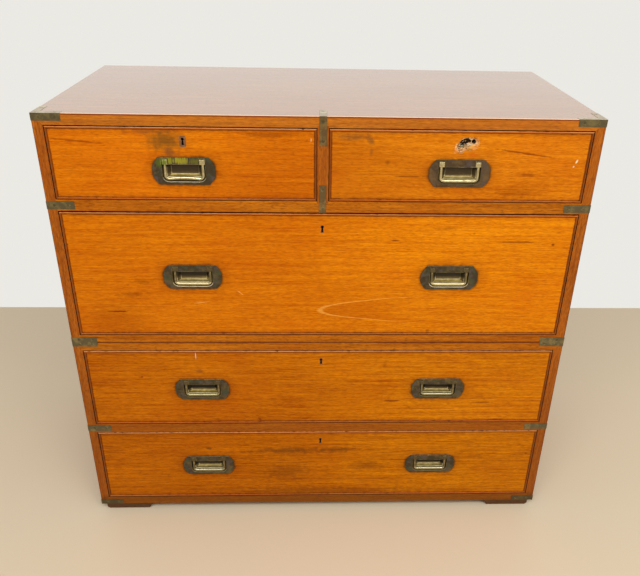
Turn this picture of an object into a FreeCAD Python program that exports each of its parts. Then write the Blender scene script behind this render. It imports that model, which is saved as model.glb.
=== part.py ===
"""Two-part campaign chest of drawers, brass bound, with flush brass handles.

Millimetres, +Z up, the front facing -Y. The origin is on the floor under the middle of the case.
A lower case on four block feet holds two long drawers. The upper case stands on it over four pegs, lifts
off for travel, and holds one deep drawer under two small ones. Each drawer has a lock with a rising bolt.
"""

import FreeCAD
import Part

import math
import os

Vector = FreeCAD.Vector

# ---- The case --------------------------------------------------------------------------------
case_width = 990.0
case_depth = 467.0
side_thickness = 18.0
top_thickness = 20.0
upper_bottom_thickness = 16.0
lower_top_thickness = 20.0
lower_bottom_thickness = 20.0
small_opening_height = 134.0
deep_opening_height = 261.0
third_opening_height = 185.0
bottom_opening_height = 185.0
case_arris = 1.2  # rounding of the outer edges
seam_chamfer = 1.1  # off each case's edges where the two cases meet

# ---- Rails, runners, divider and stops -------------------------------------------------------
rail_thickness = 22.0
rail_depth = 60.0
rail_tenon_length = 8.0
rail_tenon_inset = 12.0  # back from the front face, and in from the rail's back
rail_tenon_shoulder = 5.0
runner_width = 40.0
runner_tongue_length = 5.0
runner_tongue_thickness = 8.0
centre_runner_width = 70.0
divider_thickness = 20.0
divider_housing = 4.0
stop_length = 40.0
stop_width = 22.0
stop_height = 4.5
stop_gap = 0.3

# ---- Back boards -----------------------------------------------------------------------------
back_thickness = 10.0
back_rabbet = 8.0
back_board_count = 5
back_board_gap = 1.2
back_tongue_length = 5.0
back_tongue_thickness = 3.4
back_tongue_clearance = 0.2

# ---- Feet and locating pegs ------------------------------------------------------------------
foot_height = 18.0
foot_length = 106.0
foot_depth = 92.0
foot_inset = 10.0  # in from the sides of the case
foot_set_back = 4.0  # back from the front face, and in from the back
foot_slope = 12.0  # how far the inner end leans in from top to floor
foot_corner = 6.0  # cut off the outer bottom corner
foot_arris = 1.5
peg_radius = 8.0
peg_seat_depth = 12.0
peg_stand = 11.0
peg_dome = 3.0
peg_seat_clearance = 0.05
peg_socket_clearance = 0.4
peg_inset_x = 75.0
peg_inset_y = 60.0
peg_socket_spare = 1.0  # depth of a socket past the peg's crown

# ---- Brass straps and their screws -----------------------------------------------------------
strap_length = 50.0
strap_width = 13.0
rail_strap_width = 15.0
seam_strap_width = 10.5
strap_thickness = 2.0
strap_proud = 0.3
strap_seat_gap = 0.2
divider_strap_drop = 52.0
divider_strap_back = 45.0
screw_head_radius = 3.0
screw_head_depth = 1.6
screw_radius = 1.5
screw_length = 13.0
screw_slot_width = 0.8
screw_slot_depth = 0.5
screw_clearance = 0.08
screw_near = 15.0  # first screw of a strap leg, from the corner
screw_far = 40.0  # second screw
divider_screw_near = 9.5  # from the ends of the straps up the divider
divider_screw_far = 43.0

# ---- Drawers ---------------------------------------------------------------------------------
drawer_side_gap = 1.0
drawer_top_gap = 2.2
drawer_bottom_gap = 0.8
drawer_run_gap = 0.3
drawer_rear_gap = 8.0
front_thickness = 20.0
bead_width = 3.6
bead_proud = 1.5
bead_seat = 5.0
drawer_side_thickness = 10.0
drawer_side_drop = 6.0  # how far the sides stay below the top of the opening
drawer_back_thickness = 10.0
drawer_back_drop = 12.0
drawer_bottom_thickness = 6.0
drawer_bottom_lift = 10.0
drawer_bottom_groove = 5.0
muntin_width = 50.0
muntin_thickness = 12.0
muntin_groove = 6.0
dovetail_lap = 6.0  # wood left in front of the tails
dovetail_slope = 1.0 / 6.0
dovetail_tip_share = 0.72  # of the pitch, at the wide end of a tail

# ---- Locks -----------------------------------------------------------------------------------
lock_width = 60.0
lock_depth = 10.0
lock_below_keyhole = 16.0
lock_wall = 1.5
selvedge_width = 68.0
selvedge_thickness = 2.5
bolt_width = 20.0
bolt_thickness = 5.0
bolt_tail_width = 34.0
bolt_tail_height = 9.0
bolt_throw = 7.0
bolt_clearance = 0.3
bolt_mortise_clearance = 2.0
bolt_rest_lap = 3.0  # how far the bolt's tail lies over each rest in the lock case
small_keyhole_drop = 24.5  # from the top of each drawer's front to the middle of its keyhole
deep_keyhole_drop = 30.5
low_keyhole_drop = 25.5
keyhole_bulb_radius = 2.7
keyhole_waist = 2.6
keyhole_foot = 4.4
keyhole_height = 13.5
key_pin_radius = 1.0
key_pin_short = 1.0  # how far the pin ends inside the lock's front
escutcheon_width = 12.0
escutcheon_height = 20.0
escutcheon_thickness = 1.5
escutcheon_corner = 3.0
keyhole_liner_wall = 0.9
keyhole_liner_depth = 3.0

# ---- Flush handles, measured from the middle of the plate ------------------------------------
handle_spread = 246.0  # from the middle of the case to each handle of a long drawer
small_handle_lift = -12.0  # how far a drawer's handles are above the middle of its front
deep_handle_lift = -1.4
third_handle_lift = -3.4
bottom_handle_lift = -1.2
small_handle_out = 1.7  # how far a small drawer's handle is out from the middle of its front
plate_half_length = 55.5
plate_half_height = 25.0
plate_flat_half_length = 44.5
plate_flat_half_end = 7.5
plate_bulge = 1.0
plate_thickness = 2.2
plate_proud = 0.6
plate_seat_gap = 0.15
recess_half_width = 37.5
recess_top = 11.5
recess_bottom = -19.0
recess_depth = 5.6  # from the face of the drawer front to the ledge that the bail lies on
cup_half_width = 30.0
cup_bottom = -11.5
cup_floor_half_width = 25.0
cup_floor_bottom = -9.5
cup_floor_top = 9.0
cup_depth = 12.5
cup_wall = 1.4
knuckle_inner = 28.0
knuckle_half_height = 4.6
knuckle_half_depth = 3.0
knuckle_arris = 1.0
knuckle_swing_gap = 0.2
pivot_height = 16.0
pivot_depth = 2.4
bail_rod_radius = 2.7
bail_side_gap = 1.3
bail_corner_radius = 6.5
bail_rod_bite = 1.0  # how far the rod runs up into a knuckle
bail_bend = 7.0  # degrees: how far the ends of a bent bar slope
bail_pin_radius = 1.2
bail_bore_clearance = 0.05
handle_mortise_gap = 1.0
plate_screw_x = 48.5
plate_screw_z = 18.8
plate_arris = 0.5
recess_arris = 0.6

# ---- Worked out from the sizes above ---------------------------------------------------------
half_width = case_width / 2
half_depth = case_depth / 2
inner_half = half_width - side_thickness
front_y = -half_depth
panel_y = front_y + bead_proud
front_back_y = panel_y + front_thickness
back_inner_y = half_depth - back_thickness
rail_back_y = front_y + rail_depth
drawer_back_y = back_inner_y - drawer_rear_gap
lower_base_z = foot_height
bottom_floor_z = lower_base_z + lower_bottom_thickness
lower_rail_z = bottom_floor_z + bottom_opening_height
third_floor_z = lower_rail_z + rail_thickness
seam_z = third_floor_z + third_opening_height + lower_top_thickness
deep_floor_z = seam_z + upper_bottom_thickness
upper_rail_z = deep_floor_z + deep_opening_height
small_floor_z = upper_rail_z + rail_thickness
top_z = small_floor_z + small_opening_height + top_thickness
divider_half = divider_thickness / 2
small_middle = (inner_half + divider_half) / 2


def drawer(name, middle, half, floor, height, tails, keyhole_drop, handles, handle_lift, escutcheon,
           bail_slope=0.0):
    """One drawer's place in the case: middle and half of its opening across, its floor and its height."""
    return dict(name=name, middle=middle, half=half, floor=floor, height=height, tails=tails,
                keyhole_drop=keyhole_drop, handles=handles, handle_lift=handle_lift, escutcheon=escutcheon,
                bail_slope=bail_slope)


small_half = (inner_half - divider_half) / 2
small_handle_x = small_middle + small_handle_out
pair = [("left", -handle_spread), ("right", handle_spread)]
drawers = [
    drawer("top_left", -small_middle, small_half, small_floor_z, small_opening_height, 3,
           small_keyhole_drop, [("", -small_handle_x)], small_handle_lift, "plate", bail_bend),
    drawer("top_right", small_middle, small_half, small_floor_z, small_opening_height, 3,
           small_keyhole_drop, [("", small_handle_x)], small_handle_lift, "broken"),
    drawer("deep", 0.0, inner_half, deep_floor_z, deep_opening_height, 5,
           deep_keyhole_drop, pair, deep_handle_lift, "liner"),
    drawer("third", 0.0, inner_half, third_floor_z, third_opening_height, 4,
           low_keyhole_drop, pair, third_handle_lift, "liner"),
    drawer("bottom", 0.0, inner_half, bottom_floor_z, bottom_opening_height, 4,
           low_keyhole_drop, pair, bottom_handle_lift, "liner"),
]

parts = {}


# ---- Small helpers ---------------------------------------------------------------------------
def block(x, y, z):
    """A box from the (low, high) pair of each axis."""
    return Part.makeBox(x[1] - x[0], y[1] - y[0], z[1] - z[0], Vector(x[0], y[0], z[0]))


def closed_face(points):
    return Part.Face(Part.makePolygon(list(points) + [points[0]]))


def prism_along_y(outline_xz, y):
    face = closed_face([Vector(px, y[0], pz) for px, pz in outline_xz])
    return face.extrude(Vector(0, y[1] - y[0], 0))


def prism_along_x(outline_yz, x):
    face = closed_face([Vector(x[0], py, pz) for py, pz in outline_yz])
    return face.extrude(Vector(x[1] - x[0], 0, 0))


def cylinder(radius, length, base, direction):
    return Part.makeCylinder(radius, length, base, direction)


def fused(shapes):
    """One solid from touching shapes, without the seams between them."""
    return shapes[0].multiFuse(shapes[1:]).removeSplitter() if len(shapes) > 1 else shapes[0]


def cut(shape, tools):
    """shape less every tool, as one boolean."""
    return shape.cut(Part.makeCompound(tools)) if tools else shape


def add(node, *shapes):
    """Gives each solid of the shapes to a node, beside what the node holds already."""
    parts.setdefault(node, []).extend(solid for shape in shapes for solid in shape.Solids)


# ---- Screws ----------------------------------------------------------------------------------
def screw_blank(clearance=0.0):
    """A countersunk screw along -Z with its head's face at the origin."""
    head = Part.makeCone(screw_head_radius + clearance, screw_radius + clearance, screw_head_depth,
                         Vector(0, 0, 0), Vector(0, 0, -1))
    shank = cylinder(screw_radius + clearance, screw_length + clearance, Vector(0, 0, 0), Vector(0, 0, -1))
    return head.fuse(shank)


slot_box = block((-screw_head_radius, screw_head_radius), (-screw_slot_width / 2, screw_slot_width / 2),
                 (-screw_slot_depth, screw_slot_depth))
screw_solid = screw_blank().cut(slot_box)
screw_hole = screw_blank(screw_clearance)


def placed(shape, point, outward, turn=0.0):
    """A copy of a shape made along Z, with +Z turned to outward, at point."""
    rotation = FreeCAD.Rotation(Vector(0, 0, 1), outward).multiply(FreeCAD.Rotation(Vector(0, 0, 1), turn))
    copy = shape.copy()
    copy.Placement = FreeCAD.Placement(point, rotation)
    return copy


def screws_at(places):
    """(screws, their holes) for a list of (point, outward direction). The slots stand at odd angles."""
    screws = [placed(screw_solid, point, outward, 37.0 * i) for i, (point, outward) in enumerate(places)]
    holes = [placed(screw_hole, point, outward) for point, outward in places]
    return screws, holes


# ---- Brass straps ----------------------------------------------------------------------------
def corner_block(side, across, along, z):
    """A box measured inwards from the outer faces of the brass at a front corner, side -1 left, 1 right."""
    x = sorted(side * (half_width + strap_proud - u) for u in across)
    y = [front_y - strap_proud + v for v in along]
    return block(x, y, z)


def corner_strap(side, z, cap, grow=0.0):
    """A strap round a front corner of the case. A cap of 1 adds legs on the top face, -1 under the bottom."""
    z = (z[0] - (strap_proud if cap < 0 else 0.0), z[1] + (strap_proud if cap > 0 else 0.0))
    tall = (z[0] - grow * (cap >= 0), z[1] + grow * (cap <= 0))
    skin = (0.0, strap_thickness)
    reach = (0.0, strap_length + grow)
    pieces = [corner_block(side, reach, skin, tall), corner_block(side, skin, reach, tall)]
    if cap:
        flat = (z[1] - strap_thickness, z[1]) if cap > 0 else (z[0], z[0] + strap_thickness)
        breadth = (0.0, strap_width + grow)
        pieces += [corner_block(side, reach, breadth, flat), corner_block(side, breadth, reach, flat)]
    return fused(pieces)


def corner_screw_places(side, z, cap):
    """Two screws in each leg of a corner strap."""
    middle_z = (z[0] + z[1]) / 2
    face_x = side * (half_width + strap_proud)
    face_y = front_y - strap_proud
    places = []
    for reach in (screw_near, screw_far):
        places.append((Vector(face_x - side * reach, face_y, middle_z), Vector(0, -1, 0)))
        places.append((Vector(face_x, face_y + reach, middle_z), Vector(side, 0, 0)))
    if cap:
        face_z = z[1] + strap_proud if cap > 0 else z[0] - strap_proud
        inset = strap_width / 2
        places.append((Vector(face_x - side * screw_far, face_y + inset, face_z), Vector(0, 0, cap)))
        places.append((Vector(face_x - side * inset, face_y + screw_far, face_z), Vector(0, 0, cap)))
        places.append((Vector(face_x - side * inset, face_y + inset, face_z), Vector(0, 0, cap)))
    return places


def strap_set(levels):
    """(straps, pockets, screws, holes) for a list of (z range, cap), on both sides of the case."""
    straps, pockets, places = [], [], []
    for z, cap in levels:
        for side in (-1, 1):
            straps.append(corner_strap(side, z, cap))
            pockets.append(corner_strap(side, z, cap, strap_seat_gap))
            places += corner_screw_places(side, z, cap)
    screws, holes = screws_at(places)
    return straps, pockets, screws, holes


def divider_strap_solid(z, back, grow=0.0):
    """A strap up the middle of the front, with a leg over the top face when back is given."""
    x = (-strap_width / 2 - grow, strap_width / 2 + grow)
    face = front_y - strap_proud
    if not back:
        return block(x, (face, face + strap_thickness), (z[0], z[1] + grow))
    top = z[1] + strap_proud
    drop = block(x, (face, face + strap_thickness), (z[0] - grow, top))
    over = block(x, (face, front_y + back + grow), (top - strap_thickness, top))
    return fused([drop, over])


# ---- Case boards -----------------------------------------------------------------------------
def arris_tools(z):
    """Tools that round the four standing edges of a case between two heights."""
    tools = []
    r = case_arris
    for side in (-1, 1):
        for end in (-1, 1):
            corner = block(sorted((side * half_width, side * (half_width - r))),
                           sorted((end * half_depth, end * (half_depth - r))), z)
            core = Vector(side * (half_width - r), end * (half_depth - r), z[0])
            tools.append(corner.cut(cylinder(r, z[1] - z[0], core, Vector(0, 0, 1))))
    return tools


def top_arris_tools():
    """Tools that round the four edges of the chest's top face."""
    tools = []
    r = case_arris
    z = (top_z - r, top_z)
    for sign in (-1, 1):
        long_edge = block((-half_width, half_width), sorted((sign * half_depth, sign * (half_depth - r))), z)
        core = Vector(-half_width, sign * (half_depth - r), top_z - r)
        tools.append(long_edge.cut(cylinder(r, case_width, core, Vector(1, 0, 0))))
        end_edge = block(sorted((sign * half_width, sign * (half_width - r))), (-half_depth, half_depth), z)
        core = Vector(sign * (half_width - r), -half_depth, top_z - r)
        tools.append(end_edge.cut(cylinder(r, case_depth, core, Vector(0, 1, 0))))
    return tools


def seam_tools(end):
    """Tools that chamfer the edges round a case at the seam, above it for an end of 1 and below it for -1."""
    c = seam_chamfer
    tools = []
    for side in (-1, 1):
        long_edge = [(side * half_depth, seam_z), (side * (half_depth - c), seam_z),
                     (side * half_depth, seam_z + end * c)]
        end_edge = [(side * half_width, seam_z), (side * (half_width - c), seam_z),
                    (side * half_width, seam_z + end * c)]
        tools.append(prism_along_x(long_edge, (-half_width, half_width)))
        tools.append(prism_along_y(end_edge, (-half_depth, half_depth)))
    return tools


def mitred_boards(z, top, bottom):
    """The four boards of a case, mitred at the corners: left, right, top and bottom."""
    inner_z = (z[0] + bottom, z[1] - top)
    y = (-half_depth, half_depth)
    left = prism_along_y([(-half_width, z[0]), (-half_width, z[1]), (-inner_half, inner_z[1]),
                          (-inner_half, inner_z[0])], y)
    right = left.mirror(Vector(0, 0, 0), Vector(1, 0, 0))
    upper = prism_along_y([(-half_width, z[1]), (half_width, z[1]), (inner_half, inner_z[1]),
                           (-inner_half, inner_z[1])], y)
    lower = prism_along_y([(-half_width, z[0]), (half_width, z[0]), (inner_half, inner_z[0]),
                           (-inner_half, inner_z[0])], y)
    return left, right, upper, lower


def back_rabbet_box(z):
    """The space that a case's back boards fill, between the inner faces of its top and bottom boards."""
    return block((-inner_half - back_rabbet, inner_half + back_rabbet), (back_inner_y, half_depth),
                 (z[0] - back_rabbet, z[1] + back_rabbet))


def back_boards(z):
    """Upright tongued boards across the back, with a narrow open joint between them on the outside."""
    low = -inner_half - back_rabbet
    pitch = 2 * (inner_half + back_rabbet) / back_board_count
    middle = (back_inner_y + half_depth) / 2
    height = (z[0] - back_rabbet, z[1] + back_rabbet)
    boards = []
    for i in range(back_board_count):
        last = i == back_board_count - 1
        x = (low + i * pitch, low + (i + 1) * pitch - (0.0 if last else back_board_gap))
        board = block(x, (back_inner_y, half_depth), height)
        if i:
            slack = back_tongue_clearance
            groove_half = back_tongue_thickness / 2 + slack
            groove_y = (middle - groove_half, middle + groove_half)
            board = board.cut(block((x[0], x[0] + back_tongue_length + slack), groove_y, height))
        if not last:
            tongue_y = (middle - back_tongue_thickness / 2, middle + back_tongue_thickness / 2)
            reach = (x[1], x[1] + back_board_gap + back_tongue_length)
            board = fused([board, block(reach, tongue_y, height)])
        boards.append(board)
    return boards


def rail(z):
    """A front rail with a stub tenon at each end."""
    body = block((-inner_half, inner_half), (front_y, rail_back_y), z)
    tenon_y = (front_y + rail_tenon_inset, rail_back_y - rail_tenon_inset)
    tenon_z = (z[0] + rail_tenon_shoulder, z[1] - rail_tenon_shoulder)
    reach = inner_half + rail_tenon_length
    return fused([body, block((-reach, reach), tenon_y, tenon_z)])


def side_runners(z):
    """A runner along each side of the case, behind the rail, tongued into the side."""
    middle = (z[0] + z[1]) / 2
    tongue_z = (middle - runner_tongue_thickness / 2, middle + runner_tongue_thickness / 2)
    y = (rail_back_y, back_inner_y)
    left = fused([block((-inner_half, -inner_half + runner_width), y, z),
                  block((-inner_half - runner_tongue_length, -inner_half), y, tongue_z)])
    return [left, left.mirror(Vector(0, 0, 0), Vector(1, 0, 0))]


def stops(opening):
    """Two small blocks behind the drawer front that stop the drawer flush."""
    y = (front_back_y + stop_gap, front_back_y + stop_gap + stop_width)
    z = (opening["floor"], opening["floor"] + stop_height)
    spread = opening["half"] / 2
    return [block((opening["middle"] + sign * spread - stop_length / 2,
                   opening["middle"] + sign * spread + stop_length / 2), y, z) for sign in (-1, 1)]


def bolt_mortise(opening):
    """The pocket above a drawer that its lock bolt rises into."""
    reach = bolt_width / 2 + bolt_mortise_clearance
    bolt_y = bolt_middle_y()
    half = bolt_thickness / 2 + bolt_mortise_clearance / 2
    ceiling = opening["floor"] + opening["height"]
    return block((opening["middle"] - reach, opening["middle"] + reach), (bolt_y - half, bolt_y + half),
                 (ceiling, ceiling + bolt_throw + bolt_mortise_clearance))


def peg_places():
    x = half_width - peg_inset_x
    y = half_depth - peg_inset_y
    return [(sx * x, sy * y) for sx in (-1, 1) for sy in (-1, 1)]


def pegs():
    """Domed wooden pegs that stand in the lower case and locate the upper one."""
    made = []
    for x, y in peg_places():
        base = Vector(x, y, seam_z - peg_seat_depth)
        peg = cylinder(peg_radius, peg_seat_depth + peg_stand, base, Vector(0, 0, 1))
        crown = [e for e in peg.Edges if e.BoundBox.ZMin > seam_z + peg_stand - 0.01]
        made.append(peg.makeFillet(peg_dome, crown))
    return made


def foot(side, end):
    """A block foot set in from the case, with its inner end sloped and its outer bottom corner cut off."""
    outer = half_width - foot_inset
    outline = [(side * (outer - foot_corner), 0.0), (side * outer, foot_corner), (side * outer, foot_height),
               (side * (outer - foot_length), foot_height), (side * (outer - foot_length + foot_slope), 0.0)]
    y = sorted((end * (half_depth - foot_set_back), end * (half_depth - foot_set_back - foot_depth)))
    solid = prism_along_y(outline, y)
    floor_edges = [e for e in solid.Edges if e.BoundBox.ZMax < 0.01]
    return solid.makeChamfer(foot_arris, floor_edges)


def build_lower_case():
    z = (lower_base_z, seam_z)
    left, right, top, bottom = mitred_boards(z, lower_top_thickness, lower_bottom_thickness)
    inner_z = (bottom_floor_z, seam_z - lower_top_thickness)
    rail_z = (lower_rail_z, third_floor_z)
    rail_middle = sum(rail_z) / 2
    half = rail_strap_width / 2
    levels = [((seam_z - seam_strap_width, seam_z), 0), ((rail_middle - half, rail_middle + half), 0),
              ((lower_base_z, lower_base_z + strap_width), 0)]
    straps, pockets, screws, holes = strap_set(levels)
    runners = side_runners(rail_z)
    front_rail = rail(rail_z)
    trims = pockets + holes + arris_tools(z) + seam_tools(-1) + [back_rabbet_box(inner_z)]
    seats = [cylinder(peg_radius + peg_seat_clearance, peg_seat_depth, Vector(x, y, seam_z), Vector(0, 0, -1))
             for x, y in peg_places()]
    mortises = {d["name"]: bolt_mortise(d) for d in drawers}
    add("lower_left_side", cut(left, trims + [front_rail, runners[0]]))
    add("lower_right_side", cut(right, trims + [front_rail, runners[1]]))
    add("lower_top_board", cut(top, trims + seats + [mortises["third"]]))
    add("lower_bottom_board", cut(bottom, trims))
    add("lower_back_boards", *back_boards(inner_z))
    add("lower_drawer_rail", cut(front_rail, pockets + holes + [mortises["bottom"]]))
    add("lower_runners_and_stops", *runners, *stops(drawers[3]), *stops(drawers[4]))
    add("lower_corner_brasses", *[cut(s, holes) for s in straps])
    add("lower_brass_screws", *screws)
    add("locating_pegs", *pegs())
    add("block_feet", *[foot(side, end) for side in (-1, 1) for end in (-1, 1)])


def build_upper_case():
    z = (seam_z, top_z)
    left, right, top, bottom = mitred_boards(z, top_thickness, upper_bottom_thickness)
    inner_z = (deep_floor_z, top_z - top_thickness)
    rail_z = (upper_rail_z, small_floor_z)
    rail_middle = sum(rail_z) / 2
    half = rail_strap_width / 2
    levels = [((top_z - strap_width, top_z), 1), ((rail_middle - half, rail_middle + half), 0),
              ((seam_z, seam_z + seam_strap_width), 0)]
    straps, pockets, screws, holes = strap_set(levels)
    upper_strap = ((top_z - divider_strap_drop, top_z), divider_strap_back)
    lower_strap = ((rail_z[0], rail_z[0] + divider_strap_drop), 0.0)
    middle_straps = [divider_strap_solid(*upper_strap), divider_strap_solid(*lower_strap)]
    middle_pockets = [divider_strap_solid(*upper_strap, strap_seat_gap),
                      divider_strap_solid(*lower_strap, strap_seat_gap)]
    face = front_y - strap_proud
    heights = [top_z - divider_screw_near, top_z - divider_screw_far,
               rail_z[0] + divider_screw_near, rail_z[0] + divider_screw_far]
    places = [(Vector(0, face, height), Vector(0, -1, 0)) for height in heights]
    places.append((Vector(0, front_y + divider_strap_back - divider_screw_near, top_z + strap_proud),
                   Vector(0, 0, 1)))
    middle_screws, middle_holes = screws_at(places)
    runners = side_runners(rail_z)
    centre = block((-centre_runner_width / 2, centre_runner_width / 2), (rail_back_y, back_inner_y), rail_z)
    divider = block((-divider_half, divider_half), (front_y, back_inner_y),
                    (small_floor_z - divider_housing, top_z - top_thickness + divider_housing))
    front_rail = rail(rail_z)
    pockets += middle_pockets
    holes += middle_holes
    trims = pockets + holes + arris_tools(z) + seam_tools(1) + [back_rabbet_box(inner_z)]
    sockets = [cylinder(peg_radius + peg_socket_clearance, peg_stand + peg_socket_spare,
                        Vector(x, y, seam_z), Vector(0, 0, 1))
               for x, y in peg_places()]
    mortises = {d["name"]: bolt_mortise(d) for d in drawers}
    rounding = top_arris_tools()
    add("top_board", cut(top, trims + rounding + [divider, mortises["top_left"], mortises["top_right"]]))
    add("upper_left_side", cut(left, trims + rounding + [front_rail, runners[0]]))
    add("upper_right_side", cut(right, trims + rounding + [front_rail, runners[1]]))
    add("upper_bottom_board", cut(bottom, trims + sockets))
    add("upper_back_boards", *back_boards(inner_z))
    add("upper_drawer_rail", cut(front_rail, pockets + holes + [divider, mortises["deep"]]))
    add("drawer_divider", cut(divider, pockets + holes))
    add("upper_runners_and_stops", *runners, cut(centre, [divider]),
        *stops(drawers[0]), *stops(drawers[1]), *stops(drawers[2]))
    add("upper_corner_brasses", *[cut(s, holes) for s in straps])
    add("divider_straps", *[cut(s, holes) for s in middle_straps])
    add("upper_brass_screws", *screws, *middle_screws)


# ---- Handles ---------------------------------------------------------------------------------
def plate_outline(x, z, y, grow=0.0):
    """The face of a handle plate: straight edges, with bulging arcs that clip its corners."""
    flat = plate_flat_half_length
    high = plate_half_height + grow
    end = plate_half_length + grow
    notch = plate_flat_half_end
    edges = []

    def point(px, pz):
        return Vector(x + px, y, z + pz)

    corners = [(flat, high), (end, notch), (end, -notch), (flat, -high), (-flat, -high), (-end, -notch),
               (-end, notch), (-flat, high)]
    for i, (start, finish) in enumerate(zip(corners, corners[1:] + corners[:1])):
        if i % 2:
            edges.append(Part.LineSegment(point(*start), point(*finish)).toShape())
            continue
        chord = math.hypot(finish[0] - start[0], finish[1] - start[1])
        outward = ((start[1] - finish[1]) / chord, (finish[0] - start[0]) / chord)
        sign = math.copysign(1.0, outward[0] * start[0])
        middle = ((start[0] + finish[0]) / 2 + sign * outward[0] * plate_bulge,
                  (start[1] + finish[1]) / 2 + sign * outward[1] * plate_bulge)
        edges.append(Part.Arc(point(*start), point(*middle), point(*finish)).toShape())
    return Part.Face(Part.Wire(edges))


def tapered_cup(x, z, grow):
    """The finger cup behind the ledge: a box that narrows towards its floor."""
    def loop(y, half, low, high):
        corners = [Vector(x - half, y, z + low), Vector(x + half, y, z + low), Vector(x + half, y, z + high),
                   Vector(x - half, y, z + high)]
        return Part.makePolygon(corners + [corners[0]])

    mouth = loop(panel_y + recess_depth, cup_half_width + grow, cup_bottom - grow, recess_top + grow)
    floor = loop(panel_y + cup_depth + grow, cup_floor_half_width + grow, cup_floor_bottom - grow,
                 cup_floor_top + grow)
    return Part.makeLoft([mouth, floor], True, True)


def knuckle_pocket(x, z, side, wall=0.0):
    """The room for one knuckle of the bail, above a corner of the recess."""
    swing = math.hypot(knuckle_half_height, knuckle_half_depth) + knuckle_swing_gap
    reach = sorted((x + side * (knuckle_inner - knuckle_swing_gap - wall),
                    x + side * (recess_half_width + wall)))
    y = (panel_y - plate_proud, panel_y + pivot_depth + swing + wall)
    return block(reach, y, (z + pivot_height - swing - wall, z + pivot_height + swing + wall))


def recess_outline(x, z, y, grow=0.0):
    """The recess that the bail lies in: square at the top, rounded about the bail's lower corners."""
    half = recess_half_width + grow
    low, high = z + recess_bottom - grow, z + recess_top + grow
    r = bail_corner_radius + bail_rod_radius + bail_side_gap + grow
    bend = r * (1 - math.sqrt(0.5))

    def point(px, pz):
        return Vector(x + px, y, pz)

    edges = [
        Part.LineSegment(point(-half, high), point(-half, low + r)),
        Part.Arc(point(-half, low + r), point(-half + bend, low + bend), point(-half + r, low)),
        Part.LineSegment(point(-half + r, low), point(half - r, low)),
        Part.Arc(point(half - r, low), point(half - bend, low + bend), point(half, low + r)),
        Part.LineSegment(point(half, low + r), point(half, high)),
        Part.LineSegment(point(half, high), point(-half, high)),
    ]
    return Part.Wire([edge.toShape() for edge in edges])


def recess_solid(x, z, y, grow=0.0):
    return Part.Face(recess_outline(x, z, y[0], grow)).extrude(Vector(0, y[1] - y[0], 0))


def handle_plate(x, z):
    """A cast plate with its ledged recess and finger cup, the bail's two pins and three screws."""
    face_y = panel_y - plate_proud
    face = plate_outline(x, z, face_y, -plate_arris)
    edge = plate_outline(x, z, face_y + plate_arris)
    bevel = Part.makeLoft([face.OuterWire, edge.OuterWire], True, True)
    slab = edge.extrude(Vector(0, plate_thickness - plate_arris, 0))
    shell = recess_solid(x, z, (panel_y, panel_y + recess_depth + cup_wall), cup_wall)
    behind = block((x - plate_half_length, x + plate_half_length), (face_y, panel_y),
                   (z - plate_half_height, z + plate_half_height))
    housings = [knuckle_pocket(x, z, side, cup_wall).cut(behind) for side in (-1, 1)]
    body = fused([slab, bevel, shell, tapered_cup(x, z, cup_wall)] + housings)
    flare = Part.makeLoft([recess_outline(x, z, face_y, recess_arris),
                           recess_outline(x, z, face_y + recess_arris)], True, True)
    hollow = [recess_solid(x, z, (face_y, panel_y + recess_depth)), flare, tapered_cup(x, z, 0.0)]
    hollow += [knuckle_pocket(x, z, side) for side in (-1, 1)]
    pins = []
    for side in (-1, 1):
        inner = knuckle_inner - knuckle_swing_gap - cup_wall
        length = recess_half_width + cup_wall - inner
        base = Vector(x + side * inner, panel_y + pivot_depth, z + pivot_height)
        pins.append(cylinder(bail_pin_radius, length, base, Vector(side, 0, 0)))
    places = [(Vector(x + px, face_y, z + pz), Vector(0, -1, 0))
              for px, pz in ((-plate_screw_x, 0.0), (plate_screw_x, 0.0), (0.0, plate_screw_z))]
    screws, holes = screws_at(places)
    return cut(body, hollow + pins + holes), pins, screws, holes


def handle_mortise(x, z):
    """What is cut from a drawer front for one handle: the plate's seat and a square mortise behind it."""
    face_y = panel_y - plate_proud
    seat = plate_outline(x, z, face_y, plate_seat_gap).extrude(Vector(0, plate_thickness, 0))
    reach = recess_half_width + cup_wall + handle_mortise_gap
    swing = math.hypot(knuckle_half_height, knuckle_half_depth) + knuckle_swing_gap
    top = pivot_height + swing + cup_wall + handle_mortise_gap
    hole = block((x - reach, x + reach), (panel_y, panel_y + cup_depth + cup_wall + handle_mortise_gap),
                 (z + recess_bottom - cup_wall - handle_mortise_gap, z + top))
    return [seat, hole]


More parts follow.
